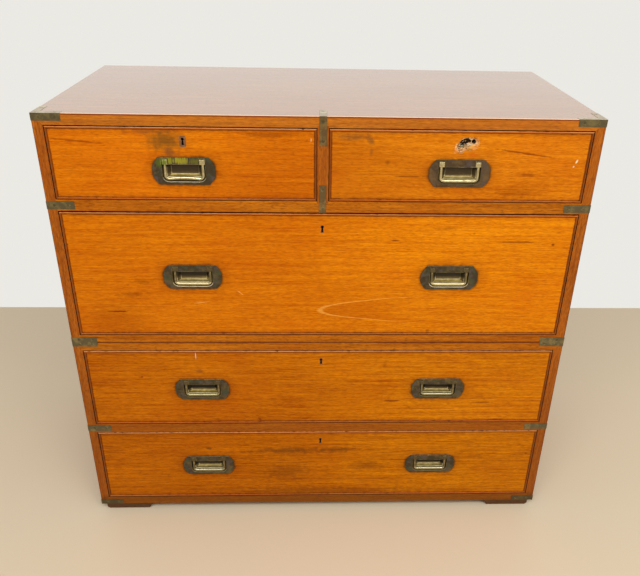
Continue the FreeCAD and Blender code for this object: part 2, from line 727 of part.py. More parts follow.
def bail(x, z, slope):
    """The drop handle: two knuckles on the pins and one rod between them.

    slope is the angle in degrees at the ends of its lower bar, which bows up in the middle by it.
    """
    y = panel_y + pivot_depth
    arm = recess_half_width - bail_side_gap - bail_rod_radius
    low = recess_bottom + bail_side_gap + bail_rod_radius
    r = bail_corner_radius
    slope = math.radians(slope)
    half_turn = (math.pi / 2 + slope) / 2
    mid_x, mid_z = r * math.cos(half_turn), r * math.sin(half_turn)
    end_x, end_z = arm - r - r * math.sin(slope), low + r - r * math.cos(slope)

    def at(px, pz):
        return Vector(x + px, y, z + pz)

    bar = Part.LineSegment(at(-end_x, end_z), at(end_x, end_z))
    if slope:
        bow = end_x * math.tan(slope / 2)
        bar = Part.Arc(at(-end_x, end_z), at(0, end_z + bow), at(end_x, end_z))
    top = pivot_height - knuckle_half_height + bail_rod_bite
    path = Part.Wire([
        Part.LineSegment(at(-arm, top), at(-arm, low + r)).toShape(),
        Part.Arc(at(-arm, low + r), at(-arm + r - mid_x, low + r - mid_z), at(-end_x, end_z)).toShape(),
        bar.toShape(),
        Part.Arc(at(end_x, end_z), at(arm - r + mid_x, low + r - mid_z), at(arm, low + r)).toShape(),
        Part.LineSegment(at(arm, low + r), at(arm, top)).toShape(),
    ])
    profile = Part.Wire([Part.makeCircle(bail_rod_radius, at(-arm, top), Vector(0, 0, -1))])
    rod = path.makePipeShell([profile], True, True)
    knuckles = []
    bores = []
    for side in (-1, 1):
        reach = sorted((x + side * knuckle_inner, x + side * (recess_half_width - knuckle_swing_gap)))
        knuckle = block(reach, (y - knuckle_half_depth, y + knuckle_half_depth),
                        (z + pivot_height - knuckle_half_height, z + pivot_height + knuckle_half_height))
        standing = [e for e in knuckle.Edges if e.BoundBox.XLength > 1.0]
        knuckles.append(knuckle.makeFillet(knuckle_arris, standing))
        bores.append(cylinder(bail_pin_radius + bail_bore_clearance, recess_half_width,
                              at(0, pivot_height), Vector(side, 0, 0)))
    return cut(fused([rod] + knuckles), bores)


# ---- Locks -----------------------------------------------------------------------------------
def bolt_middle_y():
    return front_back_y - lock_depth / 2


def keyhole_outline(x, z, y, grow=0.0):
    """A keyhole: a round bulb at the top over a skirt that widens to its foot."""
    r = keyhole_bulb_radius + grow
    waist = keyhole_waist / 2 + grow
    foot_half = keyhole_foot / 2 + grow
    bulb_z = z + keyhole_height / 2 - keyhole_bulb_radius
    foot_z = z - keyhole_height / 2 - grow
    join = bulb_z - math.sqrt(r * r - waist * waist)
    points = [Vector(x - waist, y, join), Vector(x - foot_half, y, foot_z), Vector(x + foot_half, y, foot_z),
              Vector(x + waist, y, join)]
    edges = [Part.LineSegment(a, b).toShape() for a, b in zip(points, points[1:])]
    edges.append(Part.Arc(points[3], Vector(x, y, bulb_z + r), points[0]).toShape())
    return Part.Face(Part.Wire(edges))


def keyhole_tool(x, z, y, grow=0.0):
    return keyhole_outline(x, z, y[0], grow).extrude(Vector(0, y[1] - y[0], 0))


def front_top(d):
    return d["floor"] + d["height"] - drawer_top_gap


def keyhole_z(d):
    return front_top(d) - d["keyhole_drop"]


def lock_envelope(d, gap=0.0):
    """The room that a lock takes in the back of a drawer front: its case and its selvedge."""
    x, top = d["middle"], front_top(d)
    y = (front_back_y - lock_depth - gap, front_back_y)
    low = keyhole_z(d) - lock_below_keyhole - gap
    half = lock_width / 2 + gap
    lip = selvedge_width / 2 + gap
    case = block((x - half, x + half), y, (low, top))
    selvedge = block((x - lip, x + lip), y, (top - selvedge_thickness - gap, top))
    return fused([case, selvedge])


def lock_parts(d):
    """(fixed solids, bolt) of a drawer's lock."""
    x, top = d["middle"], front_top(d)
    body = lock_envelope(d)
    low = keyhole_z(d) - lock_below_keyhole
    half = lock_width / 2
    y = (front_back_y - lock_depth, front_back_y)
    cavity = block((x - half + lock_wall, x + half - lock_wall), (y[0] + lock_wall, y[1] - lock_wall),
                   (low + lock_wall, top - selvedge_thickness))
    bolt_y = bolt_middle_y()
    slack = bolt_clearance
    slot = block((x - bolt_width / 2 - slack, x + bolt_width / 2 + slack),
                 (bolt_y - bolt_thickness / 2 - slack, bolt_y + bolt_thickness / 2 + slack),
                 (top - selvedge_thickness, top))
    key_slot = keyhole_tool(x, keyhole_z(d), (y[0], y[0] + lock_wall))
    bulb_z = keyhole_z(d) + keyhole_height / 2 - keyhole_bulb_radius
    case = cut(body, [cavity, slot, key_slot])
    ledge_low = low + lock_wall
    tail_low = top - selvedge_thickness - bolt_throw - slack - bolt_tail_height
    pin = cylinder(key_pin_radius, lock_depth - lock_wall - key_pin_short,
                   Vector(x, y[1] - lock_wall, bulb_z), Vector(0, -1, 0))
    rest_half = bolt_tail_width / 2
    rests = [block(sorted((x + sign * (rest_half - bolt_rest_lap), x + sign * (half - lock_wall))),
                   (y[0] + lock_wall, y[1] - lock_wall), (ledge_low, tail_low)) for sign in (-1, 1)]
    head = block((x - bolt_width / 2, x + bolt_width / 2),
                 (bolt_y - bolt_thickness / 2, bolt_y + bolt_thickness / 2), (tail_low, top))
    tail = block((x - rest_half, x + rest_half), (bolt_y - bolt_thickness / 2, bolt_y + bolt_thickness / 2),
                 (tail_low, tail_low + bolt_tail_height))
    talon_half = keyhole_foot
    talon = block((x - talon_half, x + talon_half), (y[0], y[1]), (tail_low, tail_low + bolt_tail_height))
    return [fused([case, pin] + rests)], fused([head, tail]).cut(talon)


def escutcheon_solids(d, grow=0.0):
    """The brass that lines a keyhole: a let-in plate, or a thin liner round the hole."""
    x, z = d["middle"], keyhole_z(d)
    if d["escutcheon"] == "plate":
        half, high = escutcheon_width / 2 + grow, escutcheon_height / 2 + grow
        plate = block((x - half, x + half), (panel_y, panel_y + escutcheon_thickness), (z - high, z + high))
        standing = [e for e in plate.Edges if e.BoundBox.YLength > 1.0]
        return [plate.makeFillet(escutcheon_corner, standing)]
    if d["escutcheon"] == "liner":
        return [keyhole_tool(x, z, (panel_y, panel_y + keyhole_liner_depth), keyhole_liner_wall + grow)]
    return []


# A lock that was forced: the outline of the hole through the wood, and of the splintered wood round it,
# from the middle of the keyhole.
forced_hole = [(-6, -6), (-5, 0), (-1, 6), (5, 10), (12, 11), (15, 8), (18, 7), (22, 10), (25, 6), (22, 1),
               (14, 2), (9, -3), (4, -6), (-1, -11)]
forced_splinters = [(-9, -9), (-8, -2), (-4, 6), (3, 12), (13, 13), (22, 12), (29, 10), (30, 3), (25, -3),
                    (17, -2), (9, -8), (3, -16), (-2, -17), (-5, -12)]
splinter_depth = 2.2


def forced_lock_tools(d):
    """What a forced lock has lost from the drawer front."""
    x, z = d["middle"], keyhole_z(d)
    through = prism_along_y([(x + px, z + pz) for px, pz in forced_hole],
                            (panel_y, front_back_y - lock_depth))
    shallow = prism_along_y([(x + px, z + pz) for px, pz in forced_splinters],
                            (panel_y, panel_y + splinter_depth))
    return [through, shallow]


# ---- Drawers ---------------------------------------------------------------------------------
def tail_prisms(x, z, root_y, tip_y, count):
    """Dovetails in a row up a drawer side: each is narrow at root_y and wide at tip_y."""
    pitch = (z[1] - z[0]) / count
    tip_half = pitch * dovetail_tip_share / 2
    root_half = tip_half - abs(tip_y - root_y) * dovetail_slope
    tails = []
    for i in range(count):
        middle = z[0] + (i + 0.5) * pitch
        tails.append(prism_along_x([(root_y, middle - root_half), (tip_y, middle - tip_half),
                                    (tip_y, middle + tip_half), (root_y, middle + root_half)], x))
    return tails


def drawer_bottom_pieces(d, x, y):
    """The bottom of a drawer between its side grooves: one panel, or two with a muntin between them."""
    z = (d["floor"] + drawer_bottom_lift, d["floor"] + drawer_bottom_lift + drawer_bottom_thickness)
    if len(d["handles"]) == 1:
        return [block(x, y, z)], None
    half = muntin_width / 2
    middle_z = (z[0] + z[1]) / 2
    muntin = block((d["middle"] - half, d["middle"] + half), (front_back_y, y[1]),
                   (middle_z - muntin_thickness / 2, middle_z + muntin_thickness / 2))
    edge = half - muntin_groove
    panels = [block((x[0], d["middle"] - edge), y, z), block((d["middle"] + edge, x[1]), y, z)]
    return panels, cut(muntin, panels)


def bead_strips(x, z):
    """Four cock-bead strips, mitred at the corners, round-nosed, standing in the rabbet of a drawer front."""
    y = (front_y, panel_y + bead_seat)
    w = bead_width
    inner = ((x[0] + w, x[1] - w), (z[0] + w, z[1] - w))
    outlines = [
        [(x[0], z[0]), (x[1], z[0]), (inner[0][1], inner[1][0]), (inner[0][0], inner[1][0])],
        [(x[0], z[1]), (x[1], z[1]), (inner[0][1], inner[1][1]), (inner[0][0], inner[1][1])],
        [(x[0], z[0]), (x[0], z[1]), (inner[0][0], inner[1][1]), (inner[0][0], inner[1][0])],
        [(x[1], z[0]), (x[1], z[1]), (inner[0][1], inner[1][1]), (inner[0][1], inner[1][0])],
    ]
    solid_frame = block(x, y, z).cut(block(inner[0], y, inner[1]))
    nose = [e for e in solid_frame.Edges if e.BoundBox.YMax < front_y + 0.01]
    rounded = solid_frame.makeFillet(bead_proud, nose)
    return [rounded.common(prism_along_y(outline, y)) for outline in outlines]


def build_drawer(d):
    """Every piece of one drawer, in its own nodes."""
    name = d["name"]
    x = (d["middle"] - d["half"] + drawer_side_gap, d["middle"] + d["half"] - drawer_side_gap)
    front_z = (d["floor"] + drawer_bottom_gap, front_top(d))
    side_z = (d["floor"] + drawer_run_gap, d["floor"] + d["height"] - drawer_side_drop)
    handle_z = (front_z[0] + front_z[1]) / 2 + d["handle_lift"]
    t = drawer_side_thickness
    groove = drawer_bottom_groove
    panel_x = (x[0] + t - groove, x[1] - t + groove)
    panels, muntin = drawer_bottom_pieces(d, panel_x, (front_back_y - groove, drawer_back_y))
    bottom_top = d["floor"] + drawer_bottom_lift + drawer_bottom_thickness
    back_low = bottom_top + (muntin_thickness - drawer_bottom_thickness) / 2 if muntin else bottom_top
    back_z = (back_low, d["floor"] + d["height"] - drawer_back_drop)
    back_y = (drawer_back_y - drawer_back_thickness, drawer_back_y)

    sides = []
    front_sockets = []
    back_sockets = []
    for side_x in ((x[0], x[0] + t), (x[1] - t, x[1])):
        tails = tail_prisms(side_x, side_z, front_back_y, panel_y + dovetail_lap, d["tails"])
        rear = tail_prisms(side_x, back_z, back_y[0], back_y[1], d["tails"])
        board = block(side_x, (front_back_y, back_y[0]), side_z)
        heel = block(side_x, back_y, (side_z[0], back_z[0]))
        sides.append(cut(fused([board, heel] + tails + rear), panels))
        front_sockets += tails
        back_sockets += rear
    back = cut(block(x, back_y, back_z), back_sockets)

    beads = bead_strips(x, front_z)
    rabbet = block(x, (panel_y, panel_y + bead_seat), front_z).cut(
        block((x[0] + bead_width, x[1] - bead_width), (panel_y, panel_y + bead_seat),
              (front_z[0] + bead_width, front_z[1] - bead_width)))
    tools = [rabbet, lock_envelope(d)] + front_sockets + panels
    plates, pins, screws = [], [], []
    for _, handle_x in d["handles"]:
        plate, plate_pins, plate_screws, screw_holes = handle_plate(handle_x, handle_z)
        plates.append(plate)
        pins += plate_pins
        screws += plate_screws
        tools += handle_mortise(handle_x, handle_z) + screw_holes
    keyhole_y = (panel_y, front_back_y - lock_depth)
    brass = []
    if d["escutcheon"] == "broken":
        tools += forced_lock_tools(d)
    else:
        hole = keyhole_tool(d["middle"], keyhole_z(d), keyhole_y)
        brass = [cut(s, [hole]) for s in escutcheon_solids(d)]
        tools += [hole] + escutcheon_solids(d)
    front = cut(block(x, (panel_y, front_back_y), front_z), tools)
    fixed_lock, bolt = lock_parts(d)

    add(name + "_front", front)
    add(name + "_cock_beads", *beads)
    add(name + "_box", *sides, back, *panels, *([muntin] if muntin else []))
    add(name + "_lock", *fixed_lock, *brass)
    add(name + "_lock_bolt", bolt)
    add(name + "_handle_plate" + ("s" if len(plates) > 1 else ""), *plates, *pins, *screws)
    for place, handle_x in d["handles"]:
        label = name + "_" + place if place else name
        add(label + "_bail", bail(handle_x, handle_z, d["bail_slope"]))
    d.update(x=x, front_z=front_z, side_z=side_z, back_z=back_z, back_y=back_y, handle_z=handle_z,
             inside_floor=back_low)


def main():
    build_lower_case()
    build_upper_case()
    for d in drawers:
        build_drawer(d)
    os.makedirs("parts", exist_ok=True)
    for node, solids in sorted(parts.items()):
        for solid in solids:
            if not solid.isValid() or solid.Volume <= 0:
                print("bad solid in", node)
        shape = solids[0] if len(solids) == 1 else Part.makeCompound(solids)
        shape.exportStep("parts/" + node + ".step")
    print(len(parts), "nodes,", sum(len(s) for s in parts.values()), "solids")


main()
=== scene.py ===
"""The looks of a brass-bound campaign chest: polished wood, aged brass and the wear of long use.

Its solids get their finishes polygon by polygon, so that one board can be polished outside and plain inside.
The pieces made here are the worn edges of the handle plates, and the torn fibres and bent metal of a forced
lock. Lengths are in metres and angles in radians, except where a comment or a docstring says otherwise.
"""

import math

import bpy
import numpy as np
from mathutils import Matrix, Vector


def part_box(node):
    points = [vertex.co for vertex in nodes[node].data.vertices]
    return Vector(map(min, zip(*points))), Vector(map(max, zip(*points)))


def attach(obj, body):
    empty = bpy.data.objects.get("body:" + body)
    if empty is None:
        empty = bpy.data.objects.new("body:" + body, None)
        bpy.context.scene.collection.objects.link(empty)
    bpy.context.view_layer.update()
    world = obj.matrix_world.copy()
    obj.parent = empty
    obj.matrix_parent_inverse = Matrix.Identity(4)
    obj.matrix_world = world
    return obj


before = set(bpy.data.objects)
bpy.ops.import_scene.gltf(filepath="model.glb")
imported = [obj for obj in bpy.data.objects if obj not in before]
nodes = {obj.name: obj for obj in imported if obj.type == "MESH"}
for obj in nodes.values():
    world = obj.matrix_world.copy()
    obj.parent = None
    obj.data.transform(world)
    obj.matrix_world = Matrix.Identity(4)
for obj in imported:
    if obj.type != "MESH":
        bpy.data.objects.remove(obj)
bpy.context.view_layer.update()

MM = 0.001

# ---- Places on the chest, all worked out from the frame ------------------------------------------
STRAP_PROUD = 0.35 * MM  # the corner straps stand about this far out of the boards
case_half = max(abs(c.x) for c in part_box("top_board")) + STRAP_PROUD
case_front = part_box("upper_drawer_rail")[0].y
case_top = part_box("top_board")[1].z
case_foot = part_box("block_feet")[1].z
PANEL_SET_BACK = 1.5 * MM  # a drawer front lies this far behind the case front, inside its beads
PLATE_PROUD = 0.6 * MM  # a handle plate stands this far out of the drawer front
BEAD = 3.6 * MM  # the width of the beads round each drawer front
panel_face = case_front + PANEL_SET_BACK
plate_low, plate_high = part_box("top_left_handle_plate")
half_plate_x = (plate_high.x - plate_low.x) / 2
half_plate_z = (plate_high.z - plate_low.z) / 2

SMALL_DRAWERS = ("top_left", "top_right")
LONG_DRAWERS = ("deep", "third", "bottom")
DRAWERS = SMALL_DRAWERS + LONG_DRAWERS


def middle(node):
    """The middle of a node's box."""
    low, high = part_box(node)
    return (low + high) / 2


def drawer_plates(name):
    """The handle plates' node of a drawer, and the middle of each plate in it."""
    if name in SMALL_DRAWERS:
        node = name + "_handle_plate"
        return node, [middle(node)]
    node = name + "_handle_plates"
    low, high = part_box(node)
    left, right = middle(node), middle(node)
    left.x = low.x + half_plate_x
    right.x = high.x - half_plate_x
    return node, [left, right]


# ---- Colours and shader nodes --------------------------------------------------------------------
def linear(code):
    """An sRGB hex colour as linear red, green and blue, with an alpha of 1."""
    srgb = [int(code[i:i + 2], 16) / 255 for i in (1, 3, 5)]
    return tuple(c / 12.92 if c <= 0.04045 else ((c + 0.055) / 1.055) ** 2.4 for c in srgb) + (1.0,)


def add(tree, kind, sockets=(), out=0, **settings):
    """Adds a shader node with its settings, its constants and its links, and returns one of its outputs.

    sockets maps an input's name or number to a constant or to another node's output.
    """
    made = tree.nodes.new("ShaderNode" + kind)
    for name, value in settings.items():
        setattr(made, name, value)
    for key, value in dict(sockets).items():
        if isinstance(value, bpy.types.NodeSocket):
            tree.links.new(value, made.inputs[key])
        else:
            made.inputs[key].default_value = value
    return made.outputs[out] if made.outputs else None


def new_material(name):
    """An empty node material, its tree and its object coordinates."""
    material = bpy.data.materials.new(name)
    material.use_nodes = True
    tree = material.node_tree
    tree.nodes.clear()
    return material, tree, add(tree, "TexCoord", out="Object")


def stain(tree, place, ragged, colour, mark):
    """Blends a mark's colour in over an ellipsoid with a ragged edge.

    The distance is the length of the place in the mark's own turned frame, scaled by its reach and pushed in
    and out by a ragged noise. The colour has its full strength in the core and fades to nothing where that
    distance is 1. A mark with a half size is a box with round corners: its distance is counted from the
    surface of that box.
    """
    spot = add(tree, "Mapping", {"Vector": place, "Location": mark["at"], "Scale": mark["reach"],
                                 "Rotation": (0, mark.get("turn", 0), 0)}, vector_type="TEXTURE")
    if "half" in mark:
        box = [half / reach for half, reach in zip(mark["half"], mark["reach"])]
        spot = add(tree, "VectorMath", {0: spot}, operation="ABSOLUTE")
        spot = add(tree, "VectorMath", {0: spot, 1: box}, operation="SUBTRACT")
        spot = add(tree, "VectorMath", {0: spot, 1: (0, 0, 0)}, operation="MAXIMUM")
    length = add(tree, "VectorMath", {0: spot}, "Value", operation="LENGTH")
    pushed = add(tree, "Math", {0: ragged, 1: mark.get("ragged", 0.6), 2: length},
                 operation="MULTIPLY_ADD")
    fade = add(tree, "MapRange", {"Value": pushed, 1: 1.0, 2: mark.get("core", 0.4), 3: 0.0,
                                  4: mark["strength"]}, interpolation_type="SMOOTHSTEP")
    return add(tree, "Mix", {0: fade, 6: colour, 7: linear(mark["colour"])}, 2, data_type="RGBA",
               blend_type=mark.get("blend", "MIX"))


# ---- Wood ----------------------------------------------------------------------------------------
RING_WIDTH = 7 * MM  # of the tree's yearly growth
WAVER = 16 * MM  # how far the grain wanders across a board
UNEVEN = 0.16  # how much the roughness varies from fleck to fleck
AXES = {"X": 0, "Y": 1, "Z": 2}
# How strongly each part of a board's figure shows. Pores and blush are how far their own colours cover it,
# and the others are its ranges of lightness.
FIGURE = {"rings": 0.3, "streaks": 0.5, "fibres": 0.9, "flecks": 0.95, "clouds": 0.5, "lines": 0.15,
          "pores": 0.3, "blush": 0.35}
SATIN = {"roughness": 0.42, "specular": 0.06}  # of the drawer fronts, rubbed dull by hands and cloths


def wood_figure(tree, place, along, across, seed, heart, lean):
    """The parts of the figure of a board, and the place that they are drawn in, moved by the seed.

    The board's own coordinates run along the grain, across it and through its thickness. The rings are a
    noise of the distance from the tree's heart, a line through heart that comes nearer by lean, so that they
    draw nested arches on a face that they slant to. Streaks, lines, fibres, flecks and pores are noises drawn
    out along the grain, from wide to fine. A slow noise bends them all together. Real pores and fibres are
    about 0.3 mm wide, and they are drawn several times as coarse, because finer ones wouldn't show.
    """
    depth = ({"X", "Y", "Z"} - {along, across}).pop()
    parts = add(tree, "SeparateXYZ", {0: place}).node.outputs
    along_m, across_m, depth_m = (parts[AXES[a]] for a in (along, across, depth))
    board = add(tree, "CombineXYZ", {0: along_m, 1: across_m, 2: depth_m})
    moved = add(tree, "VectorMath", {0: board, 1: (3.1 * seed, 1.7 * seed, 0.9 * seed)}, operation="ADD")
    slow = add(tree, "VectorMath", {0: moved, 1: (2.6, 11.0, 11.0)}, operation="MULTIPLY")
    waver = add(tree, "TexNoise", {"Vector": slow, "Scale": 1.0, "Detail": 2.0})
    bent = add(tree, "Math", {0: waver, 1: WAVER, 2: across_m}, operation="MULTIPLY_ADD")

    from_heart = add(tree, "Math", {0: depth_m, 1: heart[2] - heart[0] * lean}, operation="SUBTRACT")
    spoke = add(tree, "CombineXYZ", {
        1: add(tree, "Math", {0: bent, 1: heart[1] + WAVER / 2}, operation="SUBTRACT"),
        2: add(tree, "Math", {0: along_m, 1: -lean, 2: from_heart}, operation="MULTIPLY_ADD")})
    radius = add(tree, "VectorMath", {0: spoke}, "Value", operation="LENGTH")
    year = add(tree, "Math", {0: radius, 1: 1 / RING_WIDTH}, operation="MULTIPLY")
    grain = add(tree, "CombineXYZ", {0: along_m, 1: bent, 2: depth_m})

    def drawn_out(length, width, detail, shift):
        """A noise of that length along the grain and width across it."""
        waves = (1 / length, 1 / width, 1 / width)
        scaled = add(tree, "VectorMath", {0: grain, 1: waves, 2: (shift + seed, shift * 2.3, seed * 1.9)},
                     operation="MULTIPLY_ADD")
        return add(tree, "TexNoise", {"Vector": scaled, "Scale": 1.0, "Detail": detail, "Roughness": 0.6})

    # Lines and pores show only where their noises are high.
    lines = drawn_out(120 * MM, 2.8 * MM, 1.0, 7.0)
    pores = drawn_out(8 * MM, 1.6 * MM, 0.0, 23.0)
    return {"moved": moved, "radius": radius, "along": along_m,
            "rings": add(tree, "TexNoise", {"W": year, "Scale": 1.0, "Detail": 1.5}, noise_dimensions="1D"),
            "streaks": drawn_out(190 * MM, 6 * MM, 2.0, 3.0),
            "lines": add(tree, "MapRange", {"Value": lines, 1: 0.58, 2: 0.72},
                         interpolation_type="SMOOTHSTEP"),
            "fibres": drawn_out(90 * MM, 2.6 * MM, 2.0, 17.0),
            "flecks": drawn_out(12 * MM, 2.0 * MM, 1.0, 11.0),
            "pores": add(tree, "MapRange", {"Value": pores, 1: 0.60, 2: 0.76},
                         interpolation_type="SMOOTHSTEP")}


def wood(name, along, across, tones, seed, heart, lean=0.02, marks=(), figure=(), pale_rings=(),
         roughness=0.42, specular=0.3, coat=0.0, coat_roughness=0.12):
    """A board of one tree under old shellac and wax: warm, a little uneven, with open pores.

    tones are the colours of its light and dark wood, its pores and its redder clouds. Its lightness is the
    sum of the parts of its figure. Each pale ring is a growth ring that stands out as a thin pale line with
    darker wood inside it: its radius, the middle and the reach of what shows of it along the board, and its
    strength.
    """
    material, tree, place = new_material(name)
    share = dict(FIGURE, **dict(figure))
    parts = wood_figure(tree, place, along, across, seed, heart, lean)
    cloud_place = add(tree, "VectorMath", {0: parts["moved"], 1: (3.2, 9.0, 9.0)}, operation="MULTIPLY")
    parts["clouds"] = add(tree, "TexNoise", {"Vector": cloud_place, "Scale": 1.0, "Detail": 3.0})
    blush_place = add(tree, "VectorMath", {0: parts["moved"], 1: (7.0, 14.0, 14.0)}, operation="MULTIPLY")
    blush = add(tree, "TexNoise", {"Vector": blush_place, "Scale": 1.0, "Detail": 3.0})
    lightness = add(tree, "Math", {0: parts["lines"], 1: -share["lines"], 2: 0.52}, operation="MULTIPLY_ADD")
    for part in ("rings", "streaks", "fibres", "flecks", "clouds"):
        centred = add(tree, "Math", {0: parts[part], 1: 0.5}, operation="SUBTRACT")
        lightness = add(tree, "Math", {0: centred, 1: share[part], 2: lightness}, operation="MULTIPLY_ADD",
                        use_clamp=True)
    light, dark, pore, red = map(linear, tones)
    colour = add(tree, "Mix", {0: lightness, 6: dark, 7: light}, 2, data_type="RGBA")
    flushed = add(tree, "MapRange", {"Value": blush, 1: 0.45, 2: 0.75, 4: share["blush"]})
    colour = add(tree, "Mix", {0: flushed, 6: colour, 7: red}, 2, data_type="RGBA")
    for radius, at_x, reach_x, strength in pale_rings:
        outward = add(tree, "Math", {0: parts["radius"], 1: radius}, operation="SUBTRACT")
        apart = add(tree, "Math", {0: outward}, operation="ABSOLUTE")
        beyond = add(tree, "Math", {0: parts["along"], 1: at_x}, operation="SUBTRACT")
        beyond = add(tree, "Math", {0: beyond}, operation="ABSOLUTE")
        window = add(tree, "MapRange", {"Value": beyond, 1: reach_x, 2: 0.3 * reach_x, 4: strength},
                     interpolation_type="SMOOTHSTEP")
        inner = add(tree, "MapRange", {"Value": outward, 1: 0.0, 2: -0.4 * MM, 4: window})
        inner = add(tree, "Math", {0: inner, 1: 0.5}, operation="MULTIPLY")
        colour = add(tree, "Mix", {0: inner, 6: colour, 7: dark}, 2, data_type="RGBA")
        pale = add(tree, "MapRange", {"Value": apart, 1: 0.35 * MM, 2: 0.1 * MM, 4: window})
        colour = add(tree, "Mix", {0: pale, 6: colour, 7: linear("#f8b850")}, 2, data_type="RGBA")
    pore_amount = add(tree, "Math", {0: parts["pores"], 1: share["pores"]}, operation="MULTIPLY")
    colour = add(tree, "Mix", {0: pore_amount, 6: colour, 7: pore}, 2, data_type="RGBA")
    ragged_noise = add(tree, "TexNoise", {"Vector": place, "Scale": 95.0, "Detail": 3.0})
    ragged = add(tree, "Math", {0: ragged_noise, 1: 0.5}, operation="SUBTRACT")
    for each in marks:
        colour = stain(tree, place, ragged, colour, each)
    dullness = add(tree, "Math", {0: parts["flecks"], 1: UNEVEN, 2: roughness - UNEVEN / 2},
                   operation="MULTIPLY_ADD")
    height = add(tree, "Math", {0: parts["pores"], 1: -0.7, 2: parts["flecks"]}, operation="MULTIPLY_ADD")
    bump = add(tree, "Bump", {"Height": height, "Distance": 0.12 * MM, "Strength": 0.15})
    shader = add(tree, "BsdfPrincipled", {
        "Base Color": colour, "Roughness": dullness, "Specular IOR Level": specular, "Normal": bump,
        "Coat Weight": coat, "Coat Roughness": coat_roughness})
    add(tree, "OutputMaterial", {"Surface": shader})
    return material


# ---- Marks of use ----------------------------------------------------------------------------------
DIRT = "#5a2c0c"  # dark lines along the beads, part dirt and part painted shade, and smears of dirt
GRIME = "#442c0c"  # close round the brass
SCORCH = "#7a3404"  # knots, and streaks that the polish has reddened
SMUDGE = "#6a4424"  # grey smears of old polish
PAINTED_SHADE = "#f0e3ea"  # painted shade of a broad area, multiplied
PALE = "#f0d2ac"  # bare wood in a chip or a scratch
MARK_DEPTH = 60 * MM  # a mark reaches well into the wood, so that it covers the arrises too


def face_mark(x, z, reach_x, reach_z, colour, strength, **more):
    """A mark on the face of the drawer fronts: its middle and its half size."""
    return dict(at=(x, panel_face, z), reach=(reach_x, MARK_DEPTH, reach_z), colour=colour,
                strength=strength, **more)


def front_mark(from_left, below_top, reach_x, reach_z, colour, strength, **more):
    """A mark with its place and half size in millimetres, from the top left corner of the case."""
    return face_mark(-case_half + from_left * MM, case_top - below_top * MM, reach_x * MM, reach_z * MM,
                     colour, strength, **more)


def painted_shade_mark(from_left, below_top, reach_x, reach_z, colour):
    """A broad painted shade, darker over one part of a front, that multiplies the wood under it, so that the
    figure of the wood stays.
    """
    return front_mark(from_left, below_top, reach_x, reach_z, colour, 1.0, core=0.3, ragged=0.2,
                      blend="MULTIPLY")


PLATE_CORNER = 21 * MM  # the round corner of the dirt line round a plate
PLATE_CORE = (half_plate_x - PLATE_CORNER, 0.0, half_plate_z - PLATE_CORNER)
# The dirt round a plate: its reach across and up in millimetres, colour, strength, core and raggedness.
PLATE_DIRT = ((47, 43, SCORCH, 0.3, 0.4, 0.5), (26.5, 26.5, GRIME, 0.85, 0.72, 0.3))
BEAD_DIRT_AND_SHADE = 2.2 * MM  # the dirt and painted shade along a bead reach this far to each side
BEAD_SCORCH = 14 * MM  # and the reddened polish this far


def dirt_round(name):
    """The dirt that cloths and hands leave close round the handle plates, and the dark lines along the beads,
    partly dirt and partly painted shade.
    """
    low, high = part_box(name + "_front")
    centre = middle(name + "_front")
    far = 2 * (high.x - low.x)
    marks = []
    for plate in drawer_plates(name)[1]:
        for reach_x, reach_z, colour, strength, core, ragged in PLATE_DIRT:
            marks.append(dict(at=plate, half=PLATE_CORE, reach=(reach_x * MM, MARK_DEPTH, reach_z * MM),
                              colour=colour, strength=strength, core=core, ragged=ragged))
    for z, side in ((low.z, 1), (high.z, -1)):
        marks.append(face_mark(centre.x, z + side * BEAD, far, BEAD_DIRT_AND_SHADE, DIRT, 0.8, core=0.3, ragged=0.9))
        marks.append(face_mark(centre.x, z, far, BEAD_SCORCH, SCORCH, 0.3, core=0.2, ragged=0.9))
    for x, side in ((low.x, 1), (high.x, -1)):
        marks.append(face_mark(x + side * BEAD, centre.z, BEAD_DIRT_AND_SHADE, far, DIRT, 0.8, core=0.3, ragged=0.9))
    return marks
